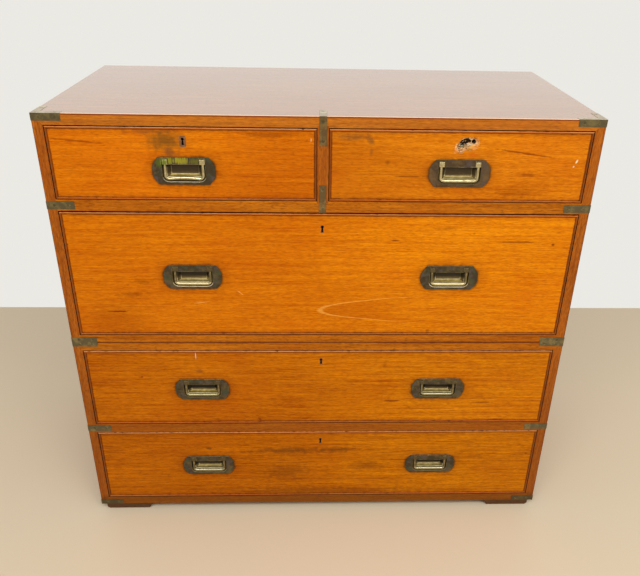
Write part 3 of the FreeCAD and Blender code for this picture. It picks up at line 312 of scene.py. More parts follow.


# The knots, stains and scratches of each drawer front, and its broad painted shade.
DRAWER_MARKS = {
    "top_left": [
        front_mark(222, 46, 50, 26, "#604418", 0.75, core=0.1, ragged=1.0),
        front_mark(228, 66, 20, 12, SMUDGE, 0.6, core=0.1, ragged=0.8, turn=0.5),
        front_mark(190, 29, 60, 7, SMUDGE, 0.4, core=0.1, ragged=1.2),
        front_mark(65, 47, 70, 2.2, SCORCH, 0.6, turn=0.09, ragged=1.2),
        front_mark(403, 34, 75, 7, SCORCH, 0.5, core=0.1, ragged=1.2),
        front_mark(474, 42, 1.4, 4, PALE, 0.6),
        painted_shade_mark(440, 105, 230, 110, "#eaddd8"),
    ],
    "top_right": [
        front_mark(578, 40, 8, 14, SMUDGE, 0.6, core=0.1, ragged=0.8, turn=-0.5),
        front_mark(580, 62, 5, 12, SMUDGE, 0.4, core=0.1, ragged=0.8),
        front_mark(545, 36, 44, 9, SMUDGE, 0.55, core=0.1, ragged=1.2),
        front_mark(650, 106, 36, 1.8, SCORCH, 0.7, ragged=1.0),
        front_mark(850, 61, 70, 2.4, SCORCH, 0.7, turn=0.14, ragged=1.4),
        front_mark(864, 101, 24, 5, SCORCH, 0.6, core=0.1, ragged=1.2),
        front_mark(849, 134, 60, 16, SCORCH, 0.35, core=0.1, ragged=1.4),
        front_mark(610, 80, 7, 6, SCORCH, 0.6, core=0.1, ragged=0.8),
        front_mark(949, 76, 2.2, 5, PALE, 0.95, turn=0.4),
        front_mark(945, 85, 1.6, 2.6, PALE, 0.85, turn=0.7),
        painted_shade_mark(550, 105, 220, 110, "#ece6e0"),
    ],
    "deep": [
        front_mark(153, 319, 30, 8, SCORCH, 0.4, core=0.1, ragged=1.4),
        front_mark(100, 400, 90, 60, SCORCH, 0.22, core=0.1, ragged=0.8),
        front_mark(134, 346, 45, 9, SCORCH, 0.4, core=0.1, ragged=1.6),
        front_mark(99, 384, 26, 2.6, SCORCH, 0.9, ragged=1.0),
        front_mark(262, 364, 18, 1.3, "#f6b45a", 0.7, turn=-0.12, ragged=0.9),
        front_mark(337, 342, 10, 1.4, "#f6b45a", 0.7, turn=0.7, ragged=0.9),
        front_mark(867, 233, 44, 3.2, SCORCH, 0.65, ragged=1.1),
        front_mark(933, 238, 4, 4, SCORCH, 0.9, core=0.2),
        front_mark(633, 231, 10, 1.6, SCORCH, 0.9),
        front_mark(724, 206, 36, 5, SCORCH, 0.4, core=0.1, ragged=1.4),
        front_mark(780, 216, 4, 3, SCORCH, 0.5, core=0.1),
        front_mark(708, 427, 6, 5, SCORCH, 0.6, core=0.1),
        front_mark(24, 242, 3, 3, SCORCH, 0.8, core=0.2),
        painted_shade_mark(0, 306, 850, 900, PAINTED_SHADE),
    ],
    "third": [
        front_mark(241, 487, 1.3, 11, PALE, 0.9, ragged=0.3),
        front_mark(245, 524, 16, 6, SMUDGE, 0.5, core=0.1, ragged=1.0),
        front_mark(128, 538, 4, 3, "#8a2804", 0.8, core=0.2),
        front_mark(366, 648, 4, 8, SCORCH, 0.8, core=0.1, turn=-0.5),
        front_mark(644, 601, 20, 3, SCORCH, 0.8, ragged=1.2),
        front_mark(839, 606, 26, 3.4, SCORCH, 0.6, ragged=1.2),
        front_mark(874, 651, 20, 2.4, SCORCH, 0.8, ragged=1.2),
        front_mark(627, 508, 6, 14, SCORCH, 0.35, core=0.1, ragged=1.0),
        painted_shade_mark(0, 567, 850, 900, PAINTED_SHADE),
    ],
    "bottom": [
        front_mark(425, 735, 110, 14, "#5e3c10", 0.55, core=0.1, ragged=1.4),
        front_mark(530, 733, 60, 12, "#5e3c10", 0.5, core=0.1, ragged=1.2),
        front_mark(420, 795, 75, 32, DIRT, 0.35, core=0.1, ragged=1.2),
        front_mark(600, 778, 60, 20, DIRT, 0.35, core=0.1, ragged=1.2),
        front_mark(252, 727, 10, 6, "#5e3c10", 0.6, core=0.1, ragged=1.0),
        front_mark(955, 747, 4, 5, SCORCH, 0.7, core=0.1),
        painted_shade_mark(0, 770, 850, 900, "#e8d6e0"),
        front_mark(500, 852, 330, 16, DIRT, 0.4, core=0.1, ragged=1.2),
    ],
}

# The forced lock, and the torn wood round it, in millimetres from the middle of its keyhole.
KEYHOLE_BELOW_TOP = 46.7 * MM
TORN_SLANT = 0.36  # of the hole, in radians
HOLE_X, HOLE_Z = 10, -1  # the middle of the hole
torn_low, torn_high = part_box("top_right_lock")
torn_x = (torn_low.x + torn_high.x) / 2
torn_z = case_top - KEYHOLE_BELOW_TOP


def torn_mark(dx, dz, reach_x, reach_z, colour, strength, **more):
    """A mark by the forced lock: its place from the keyhole and its half size, in millimetres."""
    return face_mark(torn_x + dx * MM, torn_z + dz * MM, reach_x * MM, reach_z * MM, colour, strength, **more)


TORN_MARKS = [
    torn_mark(HOLE_X, HOLE_Z, 19, 11.5, "#dcaa5c", 0.75, turn=-TORN_SLANT, core=0.6, ragged=1.1),
    torn_mark(-8, -4, 4, 7, "#f2bc7c", 0.9, core=0.4, ragged=1.0),
    torn_mark(-2, -11.5, 6, 3.5, "#e4a468", 0.6, core=0.3, ragged=1.3),
    torn_mark(29, 2, 4, 7, "#e2ac64", 0.7, core=0.3, ragged=1.0),
    torn_mark(23, -7, 5, 3.6, "#dc9c60", 0.5, core=0.3, ragged=0.9),
    torn_mark(13, -9, 9, 4, "#8a5a1c", 0.6, core=0.2, ragged=1.2),
    torn_mark(20, -19, 18, 5, "#c44c08", 0.45, core=0.1, ragged=1.0),
]
DRAWER_MARKS["top_right"] += TORN_MARKS

LOW_LINES = {"lines": 0.3, "streaks": 0.6}
# Each drawer front's light, dark, pore and flushed tones, its seed, the heart of its tree (along, across and
# through the board, in metres), the lean of the heart line, and what else sets it apart.
DRAWERS_WOOD = {
    "top_left": (("#e6880a", "#ae5000", "#824004", "#c65a04"), 1.0, (0.1, 0.30, -0.36), 0.02, {}),
    "top_right": (("#e48c12", "#aa5000", "#804006", "#c45c08"), 2.0, (0.5, 0.80, -0.10), 0.03, {}),
    "deep": (("#ec940a", "#b45600", "#8a4404", "#c85c02"), 3.0, (-0.003, 0.5227, -0.172), -0.040,
             {"pale_rings": ((0.060, 0.03, 0.20, 0.50),)}),
    "third": (("#de8a08", "#9c4a00", "#763a04", "#b45202"), 4.0, (0.2, 0.90, -0.40), 0.02,
              {"figure": LOW_LINES}),
    "bottom": (("#de8904", "#944a00", "#703604", "#ac5202"), 5.0, (-0.3, -0.40, -0.30), 0.015,
               {"figure": LOW_LINES}),
}


def drawer_front_wood(name):
    """Golden plain-sawn hardwood, shellacked, rubbed and darkened by hands round its brass.

    It glows orange, with fine level streaks and a satin face that hardly reflects.
    """
    tones, seed, heart, lean, more = DRAWERS_WOOD[name]
    marks = dirt_round(name) + DRAWER_MARKS[name]
    return wood(name + "_front_wood", "X", "Z", tones, seed, heart, lean, marks, **SATIN, **more)


MID_HEIGHT = 0.45  # about half the height of the chest
FAR = 5  # past the whole of it


def band(axis, value, reach, colour, strength, core=0.3):
    """A mark along a whole face or edge: everything within reach of a value on one axis."""
    at, reaches = [0, 0, MID_HEIGHT], [FAR, FAR, FAR]
    at[AXES[axis]] = value
    reaches[AXES[axis]] = reach
    return dict(at=at, reach=reaches, colour=colour, strength=strength, core=core, ragged=0.5)


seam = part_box("upper_bottom_board")[0].z
deep_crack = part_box("upper_drawer_rail")[0].z
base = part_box("lower_bottom_board")[0].z
# Painted shade behind the beads, in the cracks round the drawers, dirt in the seam between the two cases, and
# dirt and painted shade in the crack over the deep drawer.
crack_painted_shade = [band("Y", case_front + 13 * MM, 12 * MM, "#4a1802", 0.9, core=0.93)]
seam_dirt = [band("Z", seam - 1.6 * MM, 1.9 * MM, "#4a1402", 0.8, core=0.4)]
deep_crack_dirt_and_shade = [band("Z", deep_crack - 0.9 * MM, 2.2 * MM, "#521402", 0.9, core=0.5)]
# Paler wood along the top of the front, a dark line just under the front edge of the top, and dirt on the
# case's upright edges.
arris_lines = [band("Z", case_top, 34 * MM, "#c07838", 0.2, core=0.5),
              band("Z", case_top - 1.4 * MM, 1.9 * MM, "#702606", 0.8, core=0.4)]
edge_dirt = [band("X", side * case_half, 1.8 * MM, "#3c200e", 0.6, core=0.4) for side in (-1, 1)]
# Painted shade just inside the openings, and what floors, feet and brooms leave low down.
inner_painted_shade = [band("Y", case_front, 16 * MM, "#1c0a04", 0.9, core=0.5)]
low_dirt = [band("Z", base, 30 * MM, "#5a340e", 0.6, core=0.6),
            band("Z", 0.2, 260 * MM, "#7a3c0e", 0.4, core=0.2)]
# A painted highlight along the front edge of the top.
front_edge_painted_highlight = [band("Y", case_front, 5 * MM, "#f8caa0", 0.9, core=0.5)]

polished = {name: drawer_front_wood(name) for name in DRAWERS}

# Hardwood beads, planed to a round nose and shellacked: redder than the fronts, with a dim line of light.
BEAD_SHEEN = {"roughness": 0.38, "specular": 0.14, "coat": 0.1, "coat_roughness": 0.15}
bead_across = wood("bead_wood_across", "X", "Z", ("#be6616", "#883c04", "#562202", "#9e4c08"), 6.0,
                   (0, 0.2, 0.1), marks=crack_painted_shade + deep_crack_dirt_and_shade, **BEAD_SHEEN)
# The upward-facing sides of the top beads, painted pale as a highlight: a thin light line over each drawer.
bead_painted_highlight = wood("bead_wood_painted_highlight", "X", "Z", ("#e09a5c", "#b0683a", "#6e3412", "#c87c44"), 6.5,
                   (0, 0.2, 0.1), marks=crack_painted_shade + deep_crack_dirt_and_shade, **BEAD_SHEEN)
# The upright beads are darker than the others.
bead_upright = wood("bead_wood_upright", "Z", "X", ("#9c5012", "#663004", "#461e04", "#803c0a"), 7.0,
                    (0, 0.2, 0.1), marks=crack_painted_shade, **BEAD_SHEEN)

# Mahogany-coloured hardwood, planed and shellacked: browner than the drawers, with short dark pores.
CASE_FIGURE = {"pores": 0.4, "flecks": 1.1, "streaks": 0.7}
case_across = wood("case_wood_across", "X", "Z", ("#ca7814", "#844000", "#542602", "#a24a02"), 8.0,
                   (0, 0.6, 0.2), marks=low_dirt + seam_dirt + deep_crack_dirt_and_shade + arris_lines,
                   figure=CASE_FIGURE, specular=0.1)
# The same wood in the stiles, where the grain stands upright and hands have darkened it.
case_upright = wood("case_wood_upright", "Z", "X", ("#ba6a1c", "#783806", "#502404", "#98440c"), 9.0,
                    (0, 0, 0.3), marks=low_dirt + seam_dirt + edge_dirt, figure=CASE_FIGURE, specular=0.1)
# The side boards have kept their polish: a smooth red-brown face with an upright figure and a soft sheen.
case_sides = wood("case_wood_sides", "Z", "Y", ("#c06a10", "#8a4406", "#562806", "#a04a0c"), 10.0,
                  (0.4, 0, 0.12), 0.03, marks=low_dirt + seam_dirt, specular=0.3)
# The top board, faded by light under a thick wax polish that mirrors the room and so looks pale and pinkish.
case_top_wood = wood("case_top_wood", "X", "Y", ("#be8650", "#905e30", "#5e381c", "#a06838"), 11.0,
                     (0.2, -0.05, 0.78), 0.03, marks=front_edge_painted_highlight,
                     roughness=0.3, specular=0.5, coat=1.0, coat_roughness=0.1)
# Stained block feet, blackened by damp and floor polish: nearly no figure shows.
foot_wood = wood("foot_wood", "X", "Z", ("#64401c", "#3e240e", "#281408", "#50301a"), 12.0, (0, 0, 0.1))

# Sawn and planed wood without polish, inside and behind: pale, dry and matt, and dirty at the openings.
ROUGH_SAWN = {"roughness": 0.68, "specular": 0.22}
plain_boards = wood("plain_board_wood", "X", "Y", ("#b98d5e", "#8a6238", "#5c3f24", "#a07848"), 13.0,
                    (0, 0.1, 0.3), marks=inner_painted_shade, **ROUGH_SAWN)
plain_upright = wood("plain_upright_wood", "Z", "X", ("#a37c52", "#70502f", "#4c351f", "#8c6640"), 14.0,
                     (0, 0.1, 0.3), marks=inner_painted_shade, **ROUGH_SAWN)
plain_lengthwise = wood("plain_lengthwise_wood", "Y", "Z", ("#c39a6a", "#946b3f", "#5f4226", "#a8804e"), 15.0,
                        (0, 0.1, 0.3), marks=inner_painted_shade, **ROUGH_SAWN)
# Wood torn open by the forced lock: raw, pale, fibrous and matt, with near-black painted shade in the deepest
# part.
torn_wood = wood("torn_raw_wood", "X", "Z", ("#f2c890", "#a86a34", "#6a3c18", "#d49258"), 16.0,
                 (0, 0.8, -0.2), figure={"flecks": 2.6, "pores": 0.7}, roughness=0.8, specular=0.2,
                 marks=[torn_mark(22, 4.5, 5.5, 5, "#140a04", 0.95, core=0.6)])


# ---- Brass and iron --------------------------------------------------------------------------------
LEVEL_STREAK = (60.0, 900.0, 900.0)  # in waves per metre, as a cloth wipes along the drawers
UPRIGHT_STREAK = (700.0, 700.0, 60.0)  # and up and down them
SPECK = 0.7 * MM  # the size of a dark speck in the tarnish, drawn coarser than it is so that it shows
BLOOM = 14 * MM  # of a soft spot of corrosion
HOLLOW = 14 * MM  # of the inner corners that darken, as dirt and painted shade


def old_metal(name, bright, dull, seed, patch, clean_share, roughness, marks=(), metallic=1.0, film="#2c2416",
              hollow_dirt_and_shade=0.0, blooms=(), streak=LEVEL_STREAK):
    """Cast or rolled metal that has gone dull in air: brown or grey, and brighter where it is rubbed.

    Patches of patina cover the metal. The patina itself doesn't conduct, so it lowers the metallic share.
    Where a hollow share is given, the inner corners of the piece darken, partly as old polish and dirt and
    partly as painted shade. film is the colour of its specks and of that darkening. blooms are the colours of
    corrosion that cover it in soft spots, and streak is how fine the edges of its marks are along each axis,
    in waves per metre.
    """
    material, tree, place = new_material(name)
    moved = add(tree, "VectorMath", {0: place, 1: (seed, 2 * seed, 3 * seed)}, operation="ADD")
    patches = add(tree, "TexNoise", {"Vector": moved, "Scale": 1 / patch, "Detail": 4.0, "Roughness": 0.62})
    specks = add(tree, "TexNoise", {"Vector": moved, "Scale": 1 / SPECK, "Detail": 2.0})
    wiped_place = add(tree, "VectorMath", {0: moved, 1: streak}, operation="MULTIPLY")
    wiped = add(tree, "TexNoise", {"Vector": wiped_place, "Scale": 1.0, "Detail": 1.0})
    # The noise counts as worn bright between these two values. A larger clean share lowers both.
    least, most = 0.62 - 0.35 * clean_share, 0.76 - 0.2 * clean_share
    worn = add(tree, "MapRange", {"Value": patches, 1: least, 2: most}, interpolation_type="SMOOTHSTEP")
    colour = add(tree, "Mix", {0: worn, 6: linear(dull), 7: linear(bright)}, 2, data_type="RGBA")
    for number, bloom in enumerate(blooms, 1):
        apart = add(tree, "VectorMath", {0: moved, 1: (number, 0, number)}, operation="ADD")
        spots = add(tree, "TexNoise", {"Vector": apart, "Scale": 1 / BLOOM, "Detail": 3.0})
        amount = add(tree, "MapRange", {"Value": spots, 1: 0.50, 2: 0.66, 4: 0.7},
                     interpolation_type="SMOOTHSTEP")
        colour = add(tree, "Mix", {0: amount, 6: colour, 7: linear(bloom)}, 2, data_type="RGBA")
    freckle = add(tree, "MapRange", {"Value": specks, 1: 0.60, 2: 0.78, 4: 0.35})
    colour = add(tree, "Mix", {0: freckle, 6: colour, 7: linear(film)}, 2, data_type="RGBA")
    ragged = add(tree, "Math", {0: wiped, 1: 0.5}, operation="SUBTRACT")
    for each in marks:
        colour = stain(tree, place, ragged, colour, each)
    bare = add(tree, "MapRange", {"Value": worn, 3: metallic * 0.75, 4: metallic})
    if hollow_dirt_and_shade:
        open_share = add(tree, "AmbientOcclusion", {"Distance": HOLLOW}, "AO", only_local=True)
        buried = add(tree, "MapRange", {"Value": open_share, 1: 0.75, 2: 0.25, 4: hollow_dirt_and_shade},
                     interpolation_type="SMOOTHSTEP")
        colour = add(tree, "Mix", {0: buried, 6: colour, 7: linear(film)}, 2, data_type="RGBA")
    uneven = add(tree, "Math", {0: patches, 1: -0.25, 2: roughness + 0.12}, operation="MULTIPLY_ADD")
    bump = add(tree, "Bump", {"Height": patches, "Distance": 0.25 * MM, "Strength": 0.25})
    shader = add(tree, "BsdfPrincipled", {"Base Color": colour, "Metallic": bare, "Roughness": uneven,
                                          "Normal": bump})
    add(tree, "OutputMaterial", {"Surface": shader})
    return material


BAND_PAST = 60 * MM  # a band runs this far past the middles of the outer plates
BAND_DEPTH = 30 * MM  # and this far to each side of the drawer's face, so that it reaches into the cups
BAND_FADE = 9 * MM  # and fades over this length


def level_bands(dz, reach_z, colours, strength=0.9, core=0.4):
    """A mark along each named drawer's handles, at a height in millimetres above the middle of its plates."""
    marks = []
    for name, colour in colours.items():
        plates = drawer_plates(name)[1]
        low, high = plates[0].x, plates[-1].x
        marks.append(dict(at=((low + high) / 2, panel_face, plates[0].z + dz * MM),
                          half=((high - low) / 2 + BAND_PAST, BAND_DEPTH, 0.0),
                          reach=(BAND_FADE, BAND_FADE, reach_z * MM),
                          colour=colour, strength=strength, core=core, ragged=0.3))
    return marks


# The colours of the lower lips, worn and painted as highlights, and of the rubbed bars, drawer by drawer: the
# deep drawer is used most.
LIP_WEAR_AND_HIGHLIGHT = {"top_left": "#b4b49c", "top_right": "#5c5236", "deep": "#f4ecd0", "third": "#7c7248",
             "bottom": "#8c845c"}
BAR_SHINE = {"deep": "#e0d2a0", "third": "#b4ac84", "bottom": "#c0b890"}

# Painted shade in the upper part of the cups, near black, reaching further down in the lower drawers.
cup_painted_shade = (level_bands(6, 14, dict.fromkeys(SMALL_DRAWERS, "#2a2014"), 0.7, core=0.7)
             + level_bands(14, 10, dict.fromkeys(SMALL_DRAWERS, "#120e08"), 0.9, core=0.5)
             + level_bands(9, 17, {"deep": "#1c1608"}, 0.9, core=0.55)
             + level_bands(7, 14, dict.fromkeys(LONG_DRAWERS[1:], "#120e08"), 1.0, core=0.7))

# Rolled brass strap, browned in air and wiped over with furniture polish: olive, dull, darker at the floor.
foot_dirt = [band("Z", case_foot, 40 * MM, "#4e3e1e", 0.6)]
strap_brass = old_metal("strap_brass", "#8e8258", "#665c42", 1.0, 18 * MM, 0.5, 0.42, foot_dirt,
                        metallic=0.85)
# The divider's straps, which are wiped more often: a warmer brown.
warm_strap_brass = old_metal("warm_strap_brass", "#9c8050", "#705a38", 1.2, 18 * MM, 0.5, 0.42, metallic=0.85)
# Strap legs on the top, painted pale and shiny as a reflection of the bright room.
strap_top_reflection_brass = old_metal("strap_top_reflection_brass", "#d8c8a8", "#b8a88c", 1.5, 16 * MM, 0.5, 0.3)
# Turned brass screws, filed flush and as brown as the straps they hold, so that their heads hardly show.
screw_brass = old_metal("screw_brass", "#92865c", "#5e543a", 2.0, 5 * MM, 0.5, 0.42, metallic=0.85)
# The screws on the top, painted pale as a reflection of the bright room.
screw_top_reflection_brass = old_metal("screw_top_reflection_brass", "#d0c0a0", "#a89878", 2.5, 16 * MM, 0.5, 0.3)
# Cast brass handle plates, nearly black with age: dark, with green and purple blooms.
PLATE_TONES = ("#6e6244", "#463c28")
PLATE_BLOOMS = ("#465440", "#5e5658")
plate_brass = old_metal("plate_brass", *PLATE_TONES, 3.0, 26 * MM, 0.5, 0.45, metallic=0.8,
                        blooms=PLATE_BLOOMS)
# The same on the top right drawer, which has gone browner.
warm_plate_brass = old_metal("warm_plate_brass", "#7e6646", "#54422c", 3.2, 26 * MM, 0.5, 0.45, metallic=0.8,
                             blooms=("#6a5844", "#5e5658"), streak=UPRIGHT_STREAK)
# The plates' bevelled rims: darker than their faces, so that each plate has a drawn edge.
plate_edge_brass = old_metal("plate_edge_brass", "#60563a", "#423a22", 4.0, 6 * MM, 0.5, 0.42, metallic=0.85)
# Lips of the recesses, worn by the bails and by fingers: bright below, where wear and a painted highlight
# lie, and dull above.
lip_brass = old_metal("lip_brass", "#8a7e54", "#5c5036", 4.5, 14 * MM, 0.5, 0.34,
                      level_bands(-20, 10, LIP_WEAR_AND_HIGHLIGHT, core=0.5))
# The finger cups: rough cast brass, with painted shade at the top, dirt and painted shade in the corners, and
# brown and dull at the bottom.
cup_brass = old_metal("cup_brass", "#907c50", "#72603c", 5.0, 30 * MM, 0.3, 0.4,
                      cup_painted_shade, metallic=0.5, hollow_dirt_and_shade=0.3)
# Their lower slopes, which face up: a bright yellow band that is a painted highlight, under a line of painted
# shadow.
slope_painted_shadow = [band("Y", panel_face + 7.0 * MM, 1.6 * MM, "#241c0e", 0.85, core=0.3)]
cup_slope_painted_highlight = old_metal("cup_slope_painted_highlight", "#c6b268", "#9a8646", 5.3, 12 * MM, 0.6, 0.4, slope_painted_shadow,
                            metallic=0.15)
# Their edges, worn to bare metal and painted bright as highlights: thin pale lines.
cup_edge_wear_and_highlight = old_metal("cup_edge_wear_and_highlight", "#eae0b6", "#c8b884", 5.6, 9 * MM, 0.6, 0.32, cup_painted_shade,
                           metallic=0.1)
# Drop handles of cast brass, polished by hands: smooth and pale gold on the small drawers, and dull on the
# long ones, with bright bars and brown knuckles.
bail_brass = old_metal("bail_brass", "#ded2a6", "#b6a678", 6.0, 10 * MM, 0.9, 0.32)
bail_dull_brass = old_metal("bail_dull_brass", "#a09470", "#786c4c", 6.2, 10 * MM, 0.5, 0.36,
                            level_bands(-15, 5.5, BAR_SHINE, core=0.55)
                            + level_bands(16, 8, dict.fromkeys(LONG_DRAWERS, "#5a4e36"), 0.8))
# Keyhole liners and escutcheon of thin sheet brass, reddened by handling: a dull copper-brown outline.
keyhole_brass = old_metal("keyhole_brass", "#9c7048", "#7c5232", 6.5, 5 * MM, 0.5, 0.5, metallic=0.4)
# Lock cases of wrought iron, oiled and never cleaned: near black and matt.
lock_iron = old_metal("lock_iron", "#5c564e", "#2c2824", 7.0, 6 * MM, 0.3, 0.55, film="#1c1610")
# The forced lock's bent metal: greenish grey where it is old, and nearly white where it broke.
grey_iron = old_metal("grey_iron", "#a8a88c", "#6c6c54", 7.2, 4 * MM, 0.5, 0.5, metallic=0.5,
                      film="#3a3828")
bare_steel = old_metal("bare_steel", "#ece4cc", "#bcb094", 7.5, 3 * MM, 0.8, 0.4, metallic=0.5,
                       film="#6a6050")
# Lock bolts of drawn brass, which slide in the dry: clean and yellow.
bolt_brass = old_metal("bolt_brass", "#c0a868", "#8c7844", 8.0, 6 * MM, 0.6, 0.35)

# Dried metal polish on the top left handle, in millimetres from the middle of its plate: the middle and the
# half size of each patch across and up, and its colour.
POLISH = ((-26, 18, 14, 9, "#9a9a20"), (-4, 19, 20, 9, "#a49e2c"), (22, 18, 16, 8, "#6c6a24"),
          (-41, 14, 8, 10, "#5c6a22"), (-34, 15, 8, 10, "#8aa040"))


def polish_marks():
    """Patches of dried polish, drawn out upright as a cloth left them."""
    centre = middle("top_left_handle_plate")
    return [face_mark(centre.x + dx * MM, centre.z + dz * MM, reach_x * MM, reach_z * MM, colour, 0.95,
                      ragged=2.2, core=0.35) for dx, dz, reach_x, reach_z, colour in POLISH]


# The top left plate and handle under that polish: yellow-green and chalky in upright streaks.
polish_plate_brass = old_metal("plate_brass_with_polish", *PLATE_TONES, 3.5, 26 * MM, 0.4, 0.45,
                               polish_marks(), metallic=0.7, blooms=PLATE_BLOOMS, streak=UPRIGHT_STREAK)
polish_bail_brass = old_metal("bail_brass_with_polish", "#ded2a6", "#b6a678", 6.1, 10 * MM, 0.9, 0.32,
                              polish_marks()[3:], streak=UPRIGHT_STREAK)


# ---- Which finish goes where -------------------------------------------------------------------------
def polygon_data(node, what):
    """The centres or the normals of a node's polygons, one row each."""
    mesh = nodes[node].data
    values = np.empty(len(mesh.polygons) * 3, np.float32)
    mesh.polygons.foreach_get(what, values)
    return values.reshape(-1, 3)


def finish(node, material, *others):
    """Gives a node its material everywhere, then each other (material, mask) to the polygons of its mask."""
    mesh = nodes[node].data
    mesh.materials.clear()
    index = np.zeros(len(mesh.polygons), np.int32)
    for number, (other, mask) in enumerate(((material, None),) + others):
        mesh.materials.append(other)
        if mask is not None:
            index[mask] = number
    mesh.polygons.foreach_set("material_index", index)


LEDGE_DEPTH = 5.6 * MM  # of the ledge that a bail lies on, behind the face of the drawer front
CUP_DEPTH = 12.5 * MM  # of the bottom of a finger cup, behind it too
# A polygon belongs to a face, an edge or an end of its node when its middle is this near to it.
SKIN = 2.4 * MM  # the polished faces of the case
FACE_SKIN = 0.3 * MM  # the face of a drawer front
TOP_SKIN = 0.5 * MM  # the top face
STRAP_TOP_SKIN = 0.2 * MM  # the legs of the straps on it
SCREW_TOP_SKIN = 1.2 * MM  # and their screws
BEAD_END = 4 * MM  # an upright bead
BEAD_TOP = 4.5 * MM  # a top bead
BOX_SIDE = 10.5 * MM  # the sides of a drawer box
KEYHOLE_SKIN = 4 * MM  # the brass of a keyhole
RIM_SKIN = 0.7 * MM  # the rim of a handle plate
CUP_STARTS = 1.5 * MM  # beyond it, the inside of a handle plate
TORN_HALF_X, TORN_HALF_Z, TORN_DEPTH = 50 * MM, 30 * MM, 11 * MM  # the walls of the torn hole


def outside(node):
    """True for the polygons on the front, the sides and the top of the case."""
    centre = polygon_data(node, "center")
    return ((centre[:, 1] < case_front + SKIN) | (np.abs(centre[:, 0]) > case_half - SKIN)
            | (centre[:, 2] > case_top - SKIN))


for node in ("upper_bottom_board", "lower_top_board", "lower_bottom_board", "upper_drawer_rail",
             "lower_drawer_rail"):
    finish(node, plain_boards, (case_across, outside(node)))
finish("drawer_divider", plain_upright, (case_upright, outside("drawer_divider")))
for node in ("upper_left_side", "upper_right_side", "lower_left_side", "lower_right_side"):
    centre = polygon_data(node, "center")
    at_front = outside(node) & (centre[:, 1] < case_front + SKIN)
    finish(node, plain_upright, (case_sides, outside(node)), (case_upright, at_front))
centre = polygon_data("top_board", "center")
finish("top_board", plain_boards, (case_across, outside("top_board")),
       (case_top_wood, centre[:, 2] > case_top - TOP_SKIN))
finish("block_feet", foot_wood)
for node in ("upper_back_boards", "lower_back_boards"):
    finish(node, plain_upright)
for node in ("upper_runners_and_stops", "lower_runners_and_stops"):
    finish(node, plain_lengthwise)
finish("locating_pegs", plain_boards)
for node, brass in (("upper_corner_brasses", strap_brass), ("lower_corner_brasses", strap_brass),
                    ("divider_straps", warm_strap_brass)):
    centre = polygon_data(node, "center")
    # Their faces on the top take the copy painted pale as reflection.
    finish(node, brass, (strap_top_reflection_brass, centre[:, 2] > case_top - STRAP_TOP_SKIN))
for node in ("upper_brass_screws", "lower_brass_screws"):
    # Their heads on the top take the copy painted pale as reflection.
    on_top = polygon_data(node, "center")[:, 2] > case_top - SCREW_TOP_SKIN
    finish(node, screw_brass, (screw_top_reflection_brass, on_top))

for name in DRAWERS:
    front = name + "_front"
    centre = polygon_data(front, "center")
    on_face = centre[:, 1] < panel_face + FACE_SKIN
    others = [(polished[name], on_face)]
    if name == "top_right":
        near = ((np.abs(centre[:, 0] - torn_x) < TORN_HALF_X) & (np.abs(centre[:, 2] - torn_z) < TORN_HALF_Z)
                & (centre[:, 1] < panel_face + TORN_DEPTH))
        others.append((torn_wood, near & ~on_face))
    finish(front, plain_boards, *others)
    beads = name + "_cock_beads"
    centre = polygon_data(beads, "center")
    low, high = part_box(beads)
    upright = np.minimum(centre[:, 0] - low.x, high.x - centre[:, 0]) < BEAD_END
    # The upward-facing polygons of the top beads take the painted highlight.
    rubbed = (polygon_data(beads, "normal")[:, 2] > 0.3) & (centre[:, 2] > high.z - BEAD_TOP)
    finish(beads, bead_across, (bead_painted_highlight, rubbed), (bead_upright, upright))
    box = name + "_box"
    centre = polygon_data(box, "center")
    low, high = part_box(box)
    sides = np.minimum(centre[:, 0] - low.x, high.x - centre[:, 0]) < BOX_SIDE
    finish(box, plain_boards, (plain_lengthwise, sides))
    lock = name + "_lock"
    at_keyhole = polygon_data(lock, "center")[:, 1] < panel_face + KEYHOLE_SKIN
    finish(lock, lock_iron, (keyhole_brass, at_keyhole))
    finish(name + "_lock_bolt", bolt_brass)
    plates = drawer_plates(name)[0]
    centre = polygon_data(plates, "center")
    normal = polygon_data(plates, "normal")
    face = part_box(plates)[0].y
    inside = centre[:, 1] > face + CUP_STARTS
    # The upward-facing slopes inside the cups take the painted highlight.
    slope = inside & (normal[:, 2] > 0.5) & (centre[:, 1] > face + PLATE_PROUD + LEDGE_DEPTH)
    facing = np.abs(normal[:, 1])
    edges = (facing < 0.9) & (facing > 0.5) & (centre[:, 1] < face + RIM_SKIN)
    finish(plates, {"top_left": polish_plate_brass, "top_right": warm_plate_brass}.get(name, plate_brass),
           (cup_brass, inside), (plate_edge_brass, edges), (cup_slope_painted_highlight, slope))
for node in nodes:
    if node.endswith("_bail"):
        finish(node, bail_dull_brass if node.startswith(LONG_DRAWERS) else bail_brass)
finish("top_left_bail", polish_bail_brass)


# ---- Worn lips of the handle recesses ------------------------------------------------------------------
# Measures of a handle recess from the middle of its plate, as the handle plates have them.
RECESS_HALF = 37.5 * MM
RECESS_TOP = 11.5 * MM
RECESS_BOTTOM = -19.0 * MM
RECESS_CORNER = 10.5 * MM  # the radius of its two lower corners
POCKET_INNER = 27.8 * MM  # the inner side of a knuckle pocket
POCKET_TOP = 21.6 * MM
LIP_RADIUS = 0.75 * MM  # of the worn bead round a recess
CUP_EDGE_RADIUS = 0.65 * MM  # and round the mouth and the floor of a cup
# The corners of the mouth and the floor of a finger cup, across and up in millimetres.
CUP_MOUTH = ((-30.0, 11.5), (30.0, 11.5), (30.0, -11.5), (-30.0, -11.5))
CUP_FLOOR = ((-23.7, 7.7), (23.7, 7.7), (23.7, -8.2), (-23.7, -8.2))


def new_piece(name, points, faces, material, body):
    """A mesh piece with one material that rides on a body."""
    mesh = bpy.data.meshes.new(name)
    mesh.from_pydata(points.tolist(), [], faces.tolist())
    mesh.materials.append(material)
    piece = bpy.data.objects.new(name, mesh)
    bpy.context.scene.collection.objects.link(piece)
    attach(piece, body)
    return piece


